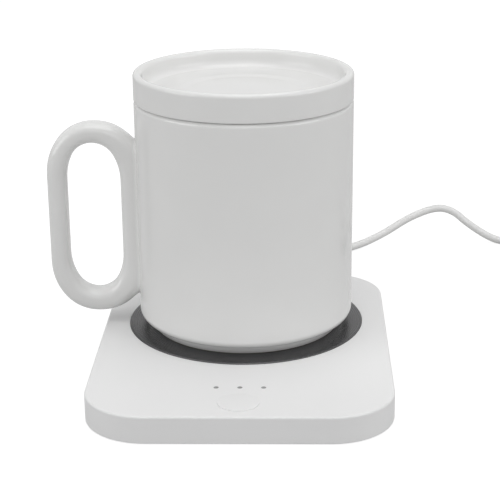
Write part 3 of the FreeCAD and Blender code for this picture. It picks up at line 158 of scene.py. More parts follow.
class MugSettings(bpy.types.PropertyGroup):
    """Sizes and colours of the mug's body."""
    wall: length_property("Wall", "Thickness of the wall", 4.0)
    floor: length_property("Floor", "Thickness of the floor", 5.0)
    rim: length_property("Rim round", "Radius of the rim's outer edge", 1.6)
    rim_flat: length_property("Rim flat", "Flat width of the rim", 0.2)
    inside: length_property("Inner round", "Radius between the wall and the floor inside", 8.0)
    corner: length_property("Lower round", "Radius of the body's lower edge", 3.4)
    body_setback: length_property("Body setback", "How far the flat underside starts inside the wall", 1.4)
    foot_setback: length_property("Foot setback", "Width of the flat underside beside the foot", 1.4)
    foot_taper: length_property("Foot taper", "How far the foot narrows to its lower edge", 2.2)
    foot_height: length_property("Foot height", "Height of the foot ring", 3.8)
    foot_ring: length_property("Foot ring", "Width of the foot ring", 5.0)
    hollow: length_property("Hollow", "Depth of the hollow inside the foot ring", 0.8)
    edge: length_property("Foot edge", "Radius of the foot's lower edge", 0.35)
    glaze: colour_property("Glaze", "Colour of the clear glaze over the white body", "#EEEEED")
    bisque: colour_property("Bisque", "Colour of the unglazed foot", "#CDC8C0")


class HandleSettings(bpy.types.PropertyGroup):
    """Sizes of the handle's ring."""
    width: length_property("Width", "Width of the ring, front to back", 11.0)
    inset: length_property("Inset", "How far the grip stays inside the solid handle", 0.35)
    grip: length_property("Grip", "Thickness of the upright grip", 7.45)
    root: length_property("Root", "Thickness of the ring's side along the wall", 6.2)
    arch: length_property("Arch", "Thickness of the ring at its top", 8.0)
    sole: length_property("Sole", "Thickness of the ring at its bottom", 8.8)
    join: length_property("Join", "Radius where the ring runs into the wall", 1.3)
    squareness: FloatProperty(name="Squareness", description="Power of the oval section, 2 is an ellipse",
                              default=2.7)
    passes: IntProperty(name="Easing", description="How often the outlines' bends are evened out", default=8)


class LidSettings(bpy.types.PropertyGroup):
    """Sizes of the lid."""
    gap: length_property("Gap", "Clearance of the lower ring inside the mug", 0.5)
    ring: length_property("Ring", "Width of the lower ring", 4.0)
    rim_width: length_property("Rim width", "Width of the rim round the tray", 3.4)
    rim: length_property("Rim round", "Radius of the rim's outer edge", 1.5)
    rim_flat: length_property("Rim flat", "Flat width of the rim", 0.2)
    lower: length_property("Lower round", "Radius of the lower outer edge", 0.25)
    shadow_gap: length_property("Shadow gap", "How far the outer part stands off the mug's rim", 0.35)
    seat: length_property("Seat", "How far the part that rests on the rim ends inside the edge", 2.2)
    edge: length_property("Ring edge", "Radius of the lower ring's edges", 0.4)
    floor: length_property("Floor", "Thickness of the lid under the tray", 4.0)
    fillet: length_property("Fillet", "Radius between the tray's floor and its rim", 3.0)
    step: length_property("Step", "Depth of the shallow middle of the tray", 0.4)
    step_start: length_property("Step start", "Radius where the floor starts to fall", 25.0)
    step_end: length_property("Step end", "Radius where the floor is flat again", 20.0)


class SlabSettings(bpy.types.PropertyGroup):
    """Sizes and colours of the slab, its button and its plate."""
    button_radius: length_property("Button radius", "Radius of the cap in its 7.5 mm hole", 7.47)
    button_raise: length_property("Button raise", "How much higher the cap stands at its front", 0.38)
    button_proud: length_property("Button height", "How far the cap stands above the housing", 0.02)
    button_depth: length_property("Button depth", "Height of the cap's face piece", 1.4)
    button_edge: length_property("Button edge", "Radius of the cap's edge", 0.1)
    housing: colour_property("Housing", "Colour of the moulded housing", "#F2F2F2")
    plate: colour_property("Plate", "Colour of the dark anodised plate", "#545455")
    window: colour_property("Windows", "Colour of the unlit indicator windows", "#989898")
    pad: colour_property("Pad", "Colour of the pad under the slab", "#8E8E8E")


class CordSettings(bpy.types.PropertyGroup):
    """Sizes and colours of the cord, its strain relief and the strap round its coil."""
    diameter: length_property("Diameter", "Outside diameter of the jacket", 3.5)
    length: length_property("Length", "Length from the strain relief to the plug", 1209.0)
    boot_root: length_property("Boot root", "Radius of the strain relief at the housing", 3.0)
    boot_tip: length_property("Boot tip", "Radius of the strain relief at its tip", 2.5)
    boot_neck: length_property("Boot neck", "Radius of the strain relief in the housing's hole", 2.6)
    boot_flange: length_property("Boot flange", "Radius of the flange inside the housing", 3.3)
    flange_length: length_property("Flange length", "Length of that flange", 1.6)
    grooves: IntProperty(name="Grooves", description="Ring grooves of the strain relief", default=5)
    groove_depth: length_property("Groove depth", "Depth of these grooves", 0.5)
    strap_width: length_property("Strap width", "Width of the strap", 3.0)
    strap_thickness: length_property("Strap thickness", "Thickness of the strap", 0.6)
    strap_inside: length_property("Strap inside", "How near the strap comes to the coil's middle", 9.1)
    strap_outside: length_property("Strap outside", "How far the strap reaches from the coil's middle", 29.4)
    strap_height: length_property("Strap height", "Height of the strap's loop", 9.0)
    strap_round: length_property("Strap round", "How far the strap's corners are cut", 2.6)
    strap_angle: FloatProperty(name="Strap angle", description="Place of the strap round the coil",
                               subtype="ANGLE", default=math.radians(200.0))
    jacket: colour_property("Jacket", "Colour of the jacket", "#E9E9E8")
    boot: colour_property("Boot", "Colour of the soft strain relief", "#E4E4E2")
    strap: colour_property("Strap", "Colour of the strap", "#DADAD8")


class StageSettings(bpy.types.PropertyGroup):
    """Light levels of the studio, and the steps of the turned pieces."""
    steps_round: IntProperty(name="Steps round", description="Steps round each turned piece", default=192)
    room: FloatProperty(name="Room light", description="Even light from all sides", default=0.38)
    key: lamp_property("Key lamp", "Power of the large soft lamp overhead", 7.9)
    back: lamp_property("Back lamp", "Power of the soft lamp behind the object", 1.5)
    front: lamp_property("Front lamp", "Power of the soft lamp behind the camera", 1.5)
    left: lamp_property("Left lamp", "Power of the soft lamp at the left", 4.4)
    right: lamp_property("Right lamp", "Power of the soft lamp at the right", 4.2)
    floor: colour_property("Floor", "Colour of the floor", "#C4C4C4")
    floor_glow: FloatProperty(name="Floor glow", description="Share of white that the floor shows the camera",
                              default=0.88)
    mirrored_glow: FloatProperty(name="Mirrored glow", description="Share of that white in reflections",
                                 default=0.3)


def add_node(tree, kind, inputs=None, **settings):
    """Adds a node, sets its properties, and sets or links its inputs by name or number."""
    node = tree.nodes.new(kind)
    for name, value in settings.items():
        setattr(node, name, value)
    for name, value in (inputs or {}).items():
        socket = node.inputs[name]
        if isinstance(value, bpy.types.NodeSocket):
            tree.links.new(value, socket)
        else:
            socket.default_value = value
    return node


def new_material(name):
    """A material with an empty tree, and the Object coordinates that its patterns follow."""
    material = bpy.data.materials.new(name)
    material.use_nodes = True
    tree = material.node_tree
    tree.nodes.clear()
    return material, tree, add_node(tree, "ShaderNodeTexCoord").outputs["Object"]


def fine_finish(name, colour, grain, roughness, depth, cloud=None, contrast=0.02, spread=0.05, **constants):
    """A surface with a fine grain in its height and gloss, and slower clouds in its colour.

    The sizes are millimetres. The constants are the shader's own inputs, words joined by underscores.
    """
    material, tree, place = new_material(name)
    fine = add_node(tree, "ShaderNodeTexNoise", {"Vector": place, "Scale": 1 / (grain * MM), "Detail": 2.0})
    slow = add_node(tree, "ShaderNodeTexNoise", {"Vector": place, "Scale": 1 / ((cloud or grain) * MM)})
    # Inputs 0, 6 and 7 of a colour mix are its factor and its two colours, output 2 is the result.
    tint = add_node(tree, "ShaderNodeMix", {
        0: slow.outputs["Fac"], 6: shade(colour, 1 - contrast), 7: shade(colour, 1 + contrast)},
        data_type="RGBA")
    gloss = add_node(tree, "ShaderNodeMapRange", {
        "Value": fine.outputs["Fac"], "To Min": roughness - spread, "To Max": roughness + spread})
    height = add_node(tree, "ShaderNodeBump", {
        "Height": fine.outputs["Fac"], "Distance": depth * MM, "Strength": 0.5})
    inputs = {word.replace("_", " "): value for word, value in constants.items()}
    inputs.update({"Base Color": tint.outputs[2], "Roughness": gloss.outputs["Result"],
                   "Normal": height.outputs["Normal"]})
    shader = add_node(tree, "ShaderNodeBsdfPrincipled", inputs)
    add_node(tree, "ShaderNodeOutputMaterial", {"Surface": shader.outputs["BSDF"]})
    return material


def glazed_stoneware(colour):
    """Clear glaze fired on white stoneware: deep gloss, with a slow waviness where it pooled."""
    material, tree, place = new_material("Clear glaze on white stoneware")
    pooled = add_node(tree, "ShaderNodeTexNoise", {"Vector": place, "Scale": 1 / (22 * MM), "Detail": 1.0})
    # The glaze's orange peel, of about a millimetre.
    peel = add_node(tree, "ShaderNodeTexNoise", {"Vector": place, "Scale": 1 / (1.4 * MM), "Detail": 2.0})
    tint = add_node(tree, "ShaderNodeMix", {
        0: pooled.outputs["Fac"], 6: shade(colour, 0.975), 7: shade(colour, 1.02)}, data_type="RGBA")
    wave = add_node(tree, "ShaderNodeBump", {
        "Height": pooled.outputs["Fac"], "Distance": 0.5 * MM, "Strength": 0.35})
    skin = add_node(tree, "ShaderNodeBump", {
        "Height": peel.outputs["Fac"], "Distance": 0.02 * MM, "Strength": 0.25,
        "Normal": wave.outputs["Normal"]})
    shader = add_node(tree, "ShaderNodeBsdfPrincipled", {
        "Base Color": tint.outputs[2], "Roughness": 0.45, "IOR": 1.5, "Specular IOR Level": 0.25,
        "Coat Weight": 0.9, "Coat Roughness": 0.07, "Coat IOR": 1.5,
        "Normal": skin.outputs["Normal"], "Coat Normal": skin.outputs["Normal"]})
    add_node(tree, "ShaderNodeOutputMaterial", {"Surface": shader.outputs["BSDF"]})
    return material


def turned_aluminium(colour):
    """Dark anodised aluminium turned on a lathe: rings round the centre, and a sheen across them."""
    material, tree, place = new_material("Dark anodised turned aluminium")
    centred = add_node(tree, "ShaderNodeMapping", {"Vector": place, "Location": (0.0, -CENTRE_Y, 0.0)})
    # The real feed marks of about 0.1 mm are drawn at 0.9 mm.
    rings = add_node(tree, "ShaderNodeTexWave", {
        "Vector": centred.outputs["Vector"], "Scale": WAVE_AT_ONE_METRE / (0.9 * MM), "Distortion": 2.5,
        "Detail": 2.0, "Detail Scale": 0.4}, wave_type="RINGS", rings_direction="Z")
    cloud = add_node(tree, "ShaderNodeTexNoise", {"Vector": place, "Scale": 1 / (9 * MM), "Detail": 3.0})
    tint = add_node(tree, "ShaderNodeMix", {
        0: cloud.outputs["Fac"], 6: shade(colour, 0.85), 7: shade(colour, 1.2)}, data_type="RGBA")
    gloss = add_node(tree, "ShaderNodeMapRange", {
        "Value": rings.outputs["Fac"], "To Min": 0.26, "To Max": 0.36})
    marks = add_node(tree, "ShaderNodeBump", {
        "Height": rings.outputs["Fac"], "Distance": 0.006 * MM, "Strength": 0.5})
    around = add_node(tree, "ShaderNodeTangent", direction_type="RADIAL", axis="Z")
    shader = add_node(tree, "ShaderNodeBsdfPrincipled", {
        "Base Color": tint.outputs[2], "Metallic": 0.75, "Roughness": gloss.outputs["Result"],
        "Anisotropic": 0.6, "Tangent": around.outputs["Tangent"], "Normal": marks.outputs["Normal"]})
    add_node(tree, "ShaderNodeOutputMaterial", {"Surface": shader.outputs["BSDF"]})
    return material


def woven_nylon(colour):
    """Woven nylon strap: fine ribs, matt with a soft sheen."""
    material, tree, place = new_material("White woven nylon")
    # The real ribs of about 0.4 mm are drawn at 0.8 mm.
    ribs = add_node(tree, "ShaderNodeTexWave", {
        "Vector": place, "Scale": WAVE_AT_ONE_METRE / (0.8 * MM), "Distortion": 1.0, "Detail": 1.0},
        bands_direction="DIAGONAL")
    tint = add_node(tree, "ShaderNodeMix", {
        0: ribs.outputs["Fac"], 6: shade(colour, 0.85), 7: shade(colour, 1.03)}, data_type="RGBA")
    height = add_node(tree, "ShaderNodeBump", {
        "Height": ribs.outputs["Fac"], "Distance": 0.08 * MM, "Strength": 0.6})
    shader = add_node(tree, "ShaderNodeBsdfPrincipled", {
        "Base Color": tint.outputs[2], "Roughness": 0.7, "Sheen Weight": 0.2,
        "Normal": height.outputs["Normal"]})
    add_node(tree, "ShaderNodeOutputMaterial", {"Surface": shader.outputs["BSDF"]})
    return material


def arc(centre, radius, start, end, steps=10):
    """Points of an arc in a section plane: centre plus radius times (cos, sin) from start to end degrees."""
    angles = np.radians(np.linspace(start, end, steps + 1))
    return np.stack([centre[0] + radius * np.cos(angles), centre[1] + radius * np.sin(angles)], axis=1)


def even_line(first, last, steps):
    """Points along a straight line, both ends included."""
    share = np.linspace(0.0, 1.0, steps + 1)[:, None]
    return np.array(first) * (1 - share) + np.array(last) * share


def soft_step(first, last, steps=12):
    """Points down an S-shaped slope: the height falls by half of (1 - cosine) of the way across."""
    share = np.linspace(0.0, 1.0, steps + 1)
    fall = (1 - np.cos(math.pi * share)) / 2
    return np.stack([first[0] + (last[0] - first[0]) * share, first[1] + (last[1] - first[1]) * fall], axis=1)


def rounded_loop(corners, cuts, per_corner, per_edge):
    """Points round a closed polygon whose corners are rounded, with as many points at each corner.

    Each corner is a circular arc between the points a cut's length away from it along both sides,
    written as a conic: (1-t)^2 A + 2wt(1-t) P + t^2 B over the sum of its weights, where w is the
    cosine of half the turn.
    """
    corners = np.array(corners)
    cuts = np.array(cuts)[:, None]
    onward = np.roll(corners, -1, axis=0) - corners
    onward = onward / np.linalg.norm(onward, axis=1, keepdims=True)
    inward = np.roll(onward, 1, axis=0)
    begin, end = corners - inward * cuts, corners + onward * cuts
    turn = np.arccos(np.clip((inward * onward).sum(axis=1), -1.0, 1.0))
    t = np.linspace(0.0, 1.0, per_corner)[None, :, None]
    lean = 2 * np.cos(turn / 2)[:, None, None] * t * (1 - t)
    arcs = (1 - t) ** 2 * begin[:, None] + lean * corners[:, None] + t ** 2 * end[:, None]
    arcs = arcs / ((1 - t) ** 2 + lean + t ** 2)
    along = (np.arange(1, per_edge) / per_edge)[None, :, None]
    edges = end[:, None] * (1 - along) + np.roll(begin, -1, axis=0)[:, None] * along
    return np.concatenate([arcs, edges], axis=1).reshape(-1, corners.shape[1])


def matched(loop, stations, steps):
    """Points of a loop, spread evenly by length between its stations, so that two loops match."""
    closed = np.concatenate([np.roll(loop, -stations[0], axis=0), loop[stations[0]:stations[0] + 1]])
    length = np.concatenate([[0.0], np.cumsum(np.linalg.norm(np.diff(closed, axis=0), axis=1))])
    marks = [length[(station - stations[0]) % len(loop)] for station in stations] + [length[-1]]
    place = np.interp(np.arange(len(stations) * steps) / steps, np.arange(len(marks)), marks)
    return np.stack([np.interp(place, length, closed[:, axis]) for axis in (0, 1)], axis=1)


def eased(loop, passes):
    """A closed row of points whose bends are evened out.

    In each pass a point becomes half of itself and a quarter of each of its neighbours.
    """
    for _ in range(passes):
        loop = (np.roll(loop, 1, axis=0) + 2 * loop + np.roll(loop, -1, axis=0)) / 4
    return loop


def signed_power(values, power):
    """The values' sizes raised to a power, with their signs kept."""
    return np.sign(values) * np.abs(values) ** power


def mesh_object(name, points, faces, sharp):
    """A mesh object at the origin with smooth faces, and sharp edges past an angle in degrees."""
    mesh = bpy.data.meshes.new(name)
    mesh.from_pydata(points.tolist(), [], faces)
    mesh.validate()
    mesh.polygons.foreach_set("use_smooth", np.ones(len(mesh.polygons), bool))
    mesh.set_sharp_from_angle(angle=math.radians(sharp))
    piece = bpy.data.objects.new(name, mesh)
    bpy.context.scene.collection.objects.link(piece)
    return piece


def grid_faces(rows, columns, close_rows):
    """Quads of a grid of points that closes along its columns, and along its rows where asked."""
    i, j = np.meshgrid(np.arange(rows if close_rows else rows - 1), np.arange(columns), indexing="ij")
    up, right = (i + 1) % rows, (j + 1) % columns
    return np.stack([i * columns + j, i * columns + right, up * columns + right, up * columns + j],
                    axis=-1).reshape(-1, 4)


def turned_mesh(profile, steps):
    """Points and faces of a surface of revolution about Z: (r cos a, r sin a, z) for each (r, z).

    The profile starts and ends on the axis, from the bottom outwards and back over the top.
    """
    ring = profile[1:-1]
    turn = np.linspace(0.0, 2 * math.pi, steps, endpoint=False)
    height = np.repeat(ring[:, 1, None], steps, axis=1)
    points = np.stack([ring[:, 0, None] * np.cos(turn), ring[:, 0, None] * np.sin(turn), height], axis=-1)
    poles = np.array([[0.0, 0.0, profile[0, 1]], [0.0, 0.0, profile[-1, 1]]])
    count = len(ring) * steps
    around, onward = np.arange(steps), (np.arange(steps) + 1) % steps
    lower = np.stack([np.full(steps, count), onward, around], axis=1)
    upper = np.stack([np.full(steps, count + 1), count - steps + around, count - steps + onward], axis=1)
    faces = grid_faces(len(ring), steps, False).tolist() + lower.tolist() + upper.tolist()
    return np.concatenate([points.reshape(-1, 3), poles]), faces


def turned_pottery(name, profile, steps):
    """A piece turned about the mug's upright axis."""
    points, faces = turned_mesh(profile, steps)
    return mesh_object(name, points + np.array([0.0, CENTRE_Y, 0.0]), faces, SHARP_GLAZED)


def ring_piece(name, points, sharp):
    """A piece from a grid that closes both ways, with its faces turned outwards."""
    faces = grid_faces(points.shape[0], points.shape[1], True)
    flat = points.reshape(-1, 3)
    first, second, third, fourth = [flat[faces[:, corner]] for corner in range(4)]
    volume = (first * np.cross(second, third)).sum() + (first * np.cross(third, fourth)).sum()
    if volume < 0:
        faces = faces[:, ::-1]
    return mesh_object(name, flat, faces.tolist(), sharp)


def dress(piece, material, body, slot, *nodes):
    """Gives a new piece its material and body, and hides the nodes that it stands for. The slot is not used.
    """
    piece.data.materials.append(material)
    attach(piece, body)
    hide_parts(*nodes)


def repaint(material, *nodes):
    """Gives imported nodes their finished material."""
    for node in nodes:
        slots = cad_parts[node].data.materials
        slots.clear()
        slots.append(material)


class WARMER_OT_camera(bpy.types.Operator):
    """Set the camera to the picture's place and framing"""
    bl_idname = "warmer.camera"
    bl_label = "Camera"

    def execute(self, context):
        data = bpy.data.cameras.new("Camera")
        data.sensor_width = SENSOR_WIDTH
        data.lens = FOCAL_PIXELS / PICTURE_PIXELS * SENSOR_WIDTH
        data.shift_x = (PICTURE_PIXELS / 2 - CENTRE_PIXEL_X) / PICTURE_PIXELS
        data.clip_start = 0.01
        data.clip_end = 20.0
        camera = bpy.data.objects.new("Camera", data)
        camera.location = CAMERA_PLACE
        camera.rotation_euler = (math.pi / 2 - CAMERA_DOWN, 0.0, CAMERA_TURN)
        context.scene.collection.objects.link(camera)
        context.scene.camera = camera
        return {"FINISHED"}


def coil_points(diameter):
    """Control points of the coil in millimetres.

    The radius falls by the pitch each turn to the middle and rises again, the angle turns clockwise at
    a steady rate, and the height steps up one layer in the half turn where the spiral reverses. The
    points stand out by the share that a spline of this order cuts inside them.
    """
    turns = 2 * COIL_TURNS_PER_LAYER
    turn = np.linspace(0.0, turns, turns * COIL_POINTS_PER_TURN + 1)
    from_middle = turn - COIL_TURNS_PER_LAYER
    spread = np.hypot(from_middle, COIL_REVERSAL_WIDTH / (2 * math.pi))
    radius = COIL_MEAN_RADIUS + COIL_PITCH * (spread - COIL_TURNS_PER_LAYER / 2)
    radius = radius / math.cos(math.pi / COIL_POINTS_PER_TURN)
    climb = np.clip(from_middle * 2 + 0.5, 0.0, 1.0)
    angle = math.radians(COIL_START_ANGLE) - 2 * math.pi * turn
    return np.stack([COIL_CENTRE[0] + radius * np.cos(angle),
                     COIL_CENTRE[1] + radius * np.sin(angle),
                     COIL_BOTTOM + diameter / 2 + COIL_LAYER_STEP * climb * climb * (3 - 2 * climb)], axis=1)


def strap_surface(settings):
    """Points of the strap: its flat section carried round the coil's bundle.

    The loop is a rounded rectangle in the upright plane at an angle round the coil, and the section
    is a flat rectangle whose corners are cut.
    """
    half, side = settings.strap_thickness / 2, settings.strap_width / 2
    low, high = half, settings.strap_height - half
    near, far = settings.strap_inside, settings.strap_outside
    corners = [(near, low), (far, low), (far, high), (near, high)]
    loop = rounded_loop(corners, [settings.strap_round] * len(corners), 12, 8)
    along = np.roll(loop, -1, axis=0) - np.roll(loop, 1, axis=0)
    along /= np.linalg.norm(along, axis=1, keepdims=True)
    across = np.stack([along[:, 1], -along[:, 0]], axis=1)
    cut = half * STRAP_EDGE_CUT
    corner = np.array([(-side, cut - half), (cut - side, -half), (side - cut, -half), (side, cut - half)])
    section = np.concatenate([corner, -corner])
    flat = loop[:, None] + across[:, None] * section[None, :, 1, None]
    sideways = np.broadcast_to(section[:, 0], flat.shape[:2])
    c, s = math.cos(settings.strap_angle), math.sin(settings.strap_angle)
    return np.stack([COIL_CENTRE[0] * MM + flat[..., 0] * c - sideways * s,
                     COIL_CENTRE[1] * MM + flat[..., 0] * s + sideways * c, flat[..., 1]], axis=-1)


def boot_profile(settings, steps=120):
    """Half section (r, y) of the strain relief: a taper with ring grooves outside the housing.

    The radius falls evenly from the housing to the tip, less the grooves' depth times the third power
    of a raised cosine that peaks at each groove, and ends in a rounded tip.
    """
    face, low, high = COVER_HIGH.y, BOOT_LOW.y, BOOT_HIGH.y
    tip_round, start = 0.5 * MM, 0.1 * MM
    y = np.linspace(face + start, high - tip_round, steps)
    share = (y - face) / (high - face)
    grooved = np.clip((share - GROOVES_START) / GROOVES_SHARE, 0.0, 1.0)
    wave = (1 - np.cos(2 * math.pi * grooved * settings.grooves)) / 2
    radius = settings.boot_root + (settings.boot_tip - settings.boot_root) * share
    outside = np.stack([radius - settings.groove_depth * wave ** 3, y], axis=1)
    flange_end = low + settings.flange_length
    return np.concatenate([
        [[0.0, low], [settings.boot_flange, low], [settings.boot_flange, flange_end]],
        [[settings.boot_neck, flange_end], [settings.boot_neck, face + start / 2]],
        outside,
        arc((outside[-1, 0] - tip_round, high - tip_round), tip_round, 15, 90, 6),
        [[0.0, high]],
    ])


def cord_curve(route, diameter):
    """The cord as a round rod along a smooth quadratic spline through its control points."""
    curve = bpy.data.curves.new("cord", "CURVE")
    curve.dimensions = "3D"
    curve.bevel_depth = diameter / 2
    curve.bevel_resolution = 5
    curve.resolution_u = 10
    curve.use_fill_caps = True
    spline = curve.splines.new("NURBS")
    spline.points.add(len(route) - 1)
    spline.points.foreach_set("co", np.c_[route, np.ones(len(route))].ravel())
    spline.order_u = 3
    spline.use_endpoint_u = True
    cord = bpy.data.objects.new("cord", curve)
    bpy.context.scene.collection.objects.link(cord)
    return cord


class WARMER_OT_cord(bpy.types.Operator):
    """Lay the cord from its strain relief into its strapped coil and on to the plug"""
    bl_idname = "warmer.cord"
    bl_label = "Cord"

    def execute(self, context):
        settings = context.scene.warmer_cord
        diameter = settings.diameter
        route = np.concatenate([np.array(CORD_ROUTE), coil_points(diameter / MM), np.array(PLUG_ROUTE)]) * MM
        cord = cord_curve(route, diameter)
        # Extruded soft plastic: smooth and nearly matt.
        jacket = fine_finish("White PVC jacket", settings.jacket, 0.3, 0.48, 0.01, cloud=12.0, contrast=0.015)
        dress(cord, jacket, "base", "cord_white", "cord_lead", "cord_coil", "plug_lead")
        repaint(jacket, "cord_tail")

        strap = ring_piece("strap", strap_surface(settings), SHARP_STRAP)
        dress(strap, woven_nylon(settings.strap), "base", "tie_white", "coil_tie")
        points, faces = turned_mesh(boot_profile(settings), 64)
        # The turned boot is laid along Y, so its own upright axis becomes the cord's.
        laid = points[:, [0, 2, 1]] * np.array([1.0, 1.0, -1.0]) + np.array([0.0, 0.0, route[0][2]])
        boot = mesh_object("boot", laid, faces, SHARP_MOULDED)
        # Soft moulded rubber: matt, with a fine even grain.
        rubber = fine_finish("Soft white rubber", settings.boot, 0.4, 0.6, 0.02, contrast=0.03)
        dress(boot, rubber, "base", "boot_white", "strain_relief")

        # Moulded in a spark-eroded mould: the jacket's plastic with an even satin.
        plug = fine_finish("Moulded PVC, satin white", context.scene.warmer_slab.housing, 0.3, 0.5, 0.012,
                           cloud=35.0, contrast=0.012)
        repaint(plug, "plug_body")
        return {"FINISHED"}


def mug_profile(mug):
    """Half section of the mug: foot ring, wall and rounded rim outside, then back over the inside."""
    low, high, radius = MUG_LOW.z, MUG_HIGH.z, MUG_RADIUS
    foot_top = low + mug.foot_height
    body_edge = radius - mug.body_setback
    foot_edge = body_edge - mug.foot_setback
    foot = foot_edge - mug.foot_taper
    hollow = foot - mug.foot_ring
    inner = radius - mug.wall
    floor = low + mug.floor
    lip = mug.wall - mug.rim - mug.rim_flat
    drop = math.degrees(math.acos((mug.corner - mug.body_setback) / mug.corner))
    corner_z = foot_top + mug.corner * math.sin(math.radians(drop))
    margin = 2 * MM
    return np.concatenate([
        [[0.0, low + mug.hollow], [hollow, low + mug.hollow], [hollow + mug.hollow, low]],
        arc((foot - mug.edge, low + mug.edge), mug.edge, -90, -30, 4),
        [[foot_edge, foot_top - mug.edge], [foot_edge, foot_top], [body_edge - mug.edge, foot_top]],
        arc((radius - mug.corner, corner_z), mug.corner, -drop, 0),
        even_line((radius, corner_z + margin), (radius, high - mug.rim - margin), 24),
        arc((radius - mug.rim, high - mug.rim), mug.rim, 0, 90),
        arc((inner + lip, high - lip), lip, 90, 180),
        even_line((inner, high - lip - margin), (inner, floor + mug.inside + margin), 12),
        arc((inner - mug.inside, floor + mug.inside), mug.inside, 0, -90),
        [[0.0, floor]],
    ])


class WARMER_OT_mug(bpy.types.Operator):
    """Turn the mug's body with its glazed wall and unglazed foot ring"""
    bl_idname = "warmer.mug"
    bl_label = "Mug"

    def execute(self, context):
        settings = context.scene.warmer_mug
        steps = context.scene.warmer_stage.steps_round
        mug = turned_pottery("mug", mug_profile(settings), steps)
        dress(mug, glazed_stoneware(settings.glaze), "mug", "glaze_white", "mug_body")
        # Unglazed fired clay where the mug stood in the kiln: dry, matt and slightly sandy.
        bisque = fine_finish("Unglazed stoneware", settings.bisque, 0.35, 0.9, 0.05,
                             contrast=0.1, spread=0.02)
        mug.data.materials.append(bisque)
        # The ring's underside, up to part of the way into its hollow, has no glaze.
        centres = np.empty(len(mug.data.polygons) * 3)
        mug.data.polygons.foreach_get("center", centres)
        x, y, z = centres.reshape(-1, 3).T
        inside_foot = MUG_RADIUS - settings.body_setback - settings.foot_setback
        bare = (z < MUG_LOW.z + settings.hollow * 0.75) & (np.hypot(x, y - CENTRE_Y) < inside_foot)
        bare &= np.hypot(x, y - CENTRE_Y) > inside_foot - settings.foot_taper - settings.foot_ring
        mug.data.polygons.foreach_set("material_index", bare.astype(int))
        return {"FINISHED"}


def handle_outlines(settings, wall, per_corner=24, per_edge=8, per_quarter=60):
    """The ring's outer outline and the finger hole's, with matching points, in the plane of X and Z.

    The outer one is a closed polygon of eight rounded corners that ends halfway into the mug's wall.
    """
    reach, low, high = HANDLE_LOW.x + settings.inset, HANDLE_LOW.z, HANDLE_HIGH.z
    sunk = wall / 2 - MUG_RADIUS
    width = sunk - reach
    across, rise = OUTER_CORNER[0] * width, OUTER_CORNER[1] * width
    run, fall = OUTER_SLOPE[0] * width, OUTER_SLOPE[1] * width
    half = [(sunk, low + fall), (sunk - run, low), (reach + across, low), (reach, low + rise)]
    outer = half + [(x, low + high - z) for x, z in reversed(half)]
    # The corners at both ends of this half are inside the wall.
    cuts = [MM, math.hypot(run, fall) / 2] + [math.hypot(across, rise) / 2] * 2
    cuts = cuts + cuts[::-1]
    left, right = reach + settings.grip, -MUG_RADIUS - settings.root
    bottom, top = low + settings.sole, high - settings.arch
    across, rise = HOLE_CORNER[0] * (right - left), HOLE_CORNER[1] * (right - left)
    half = [(right, bottom + rise), (right - across, bottom), (left + across, bottom), (left, bottom + rise)]
    hole = half + [(x, bottom + top - z) for x, z in reversed(half)]
    hole_cuts = [math.hypot(across, rise) / 2] * len(hole)
    # The stations are the middles of the wall's side, the bottom, the grip and the top.
    stations = [side * (per_corner + per_edge - 1) + per_corner + per_edge // 2 - 1 for side in (7, 1, 3, 5)]
    return [eased(matched(rounded_loop(corners, cut, per_corner, per_edge), stations, per_quarter),
                  settings.passes) for corners, cut in ((outer, cuts), (hole, hole_cuts))]


def outward_normals(points, middle):
    """Unit normals of a grid that closes both ways, turned away from the ring's middle line."""
    normal = np.cross(np.roll(points, -1, axis=1) - np.roll(points, 1, axis=1),
                      np.roll(points, -1, axis=0) - np.roll(points, 1, axis=0))
    normal /= np.linalg.norm(normal, axis=-1, keepdims=True)
    return normal * np.sign((normal * (points - middle)).sum())


def handle_surface(settings, wall, section=96):
    """Points of the handle's ring: an oval section carried between its two outlines.

    Across the ring a point stands at middle + half thickness * sgn(cos a) |cos a|^(2/n), and to the
    front and back at half width * sgn(sin a) |sin a|^(2/n). Near the wall it is pushed along the
    wall by r - sqrt(r^2 - (r - d)^2), where d is its distance from the wall, which makes the
    hollow of radius r where the two run together.
    """
    outside, inside = handle_outlines(settings, wall)
    angle = np.linspace(0.0, 2 * math.pi, section, endpoint=False)
    out = signed_power(np.cos(angle), 2 / settings.squareness)[None, :, None]
    side = signed_power(np.sin(angle), 2 / settings.squareness) * settings.width / 2
    middle = (outside + inside)[:, None] / 2
    flat = middle + (outside - inside)[:, None] / 2 * out
    points = np.stack([flat[..., 0], np.broadcast_to(side, flat.shape[:2]), flat[..., 1]], axis=-1)
    middle = np.stack([middle[..., 0], np.zeros(middle.shape[:2]), middle[..., 1]], axis=-1)
    normal = outward_normals(points, middle)
    radial = points * np.array([1.0, 1.0, 0.0])
    distance = np.linalg.norm(radial, axis=-1, keepdims=True)
    radial = radial / distance
    join = settings.join
    left_over = np.clip(join - (distance - MUG_RADIUS), 0.0, join)
    push = join - np.sqrt(join ** 2 - left_over ** 2)
    moved = points + push * (normal - (normal * radial).sum(axis=-1, keepdims=True) * radial)
    # A pushed point keeps its distance from the mug's axis.
    moved[..., :2] *= distance / np.linalg.norm(moved[..., :2], axis=-1, keepdims=True)
    return moved + np.array([0.0, CENTRE_Y, 0.0])


class WARMER_OT_handle(bpy.types.Operator):
    """Draw the handle's ring, run softly into the mug's wall"""
    bl_idname = "warmer.handle"
    bl_label = "Handle"

    def execute(self, context):
        mug = context.scene.warmer_mug
        handle = ring_piece("handle", handle_surface(context.scene.warmer_handle, mug.wall), SHARP_GLAZED)
        dress(handle, glazed_stoneware(mug.glaze), "mug", "glaze_white", "mug_handle")
        return {"FINISHED"}


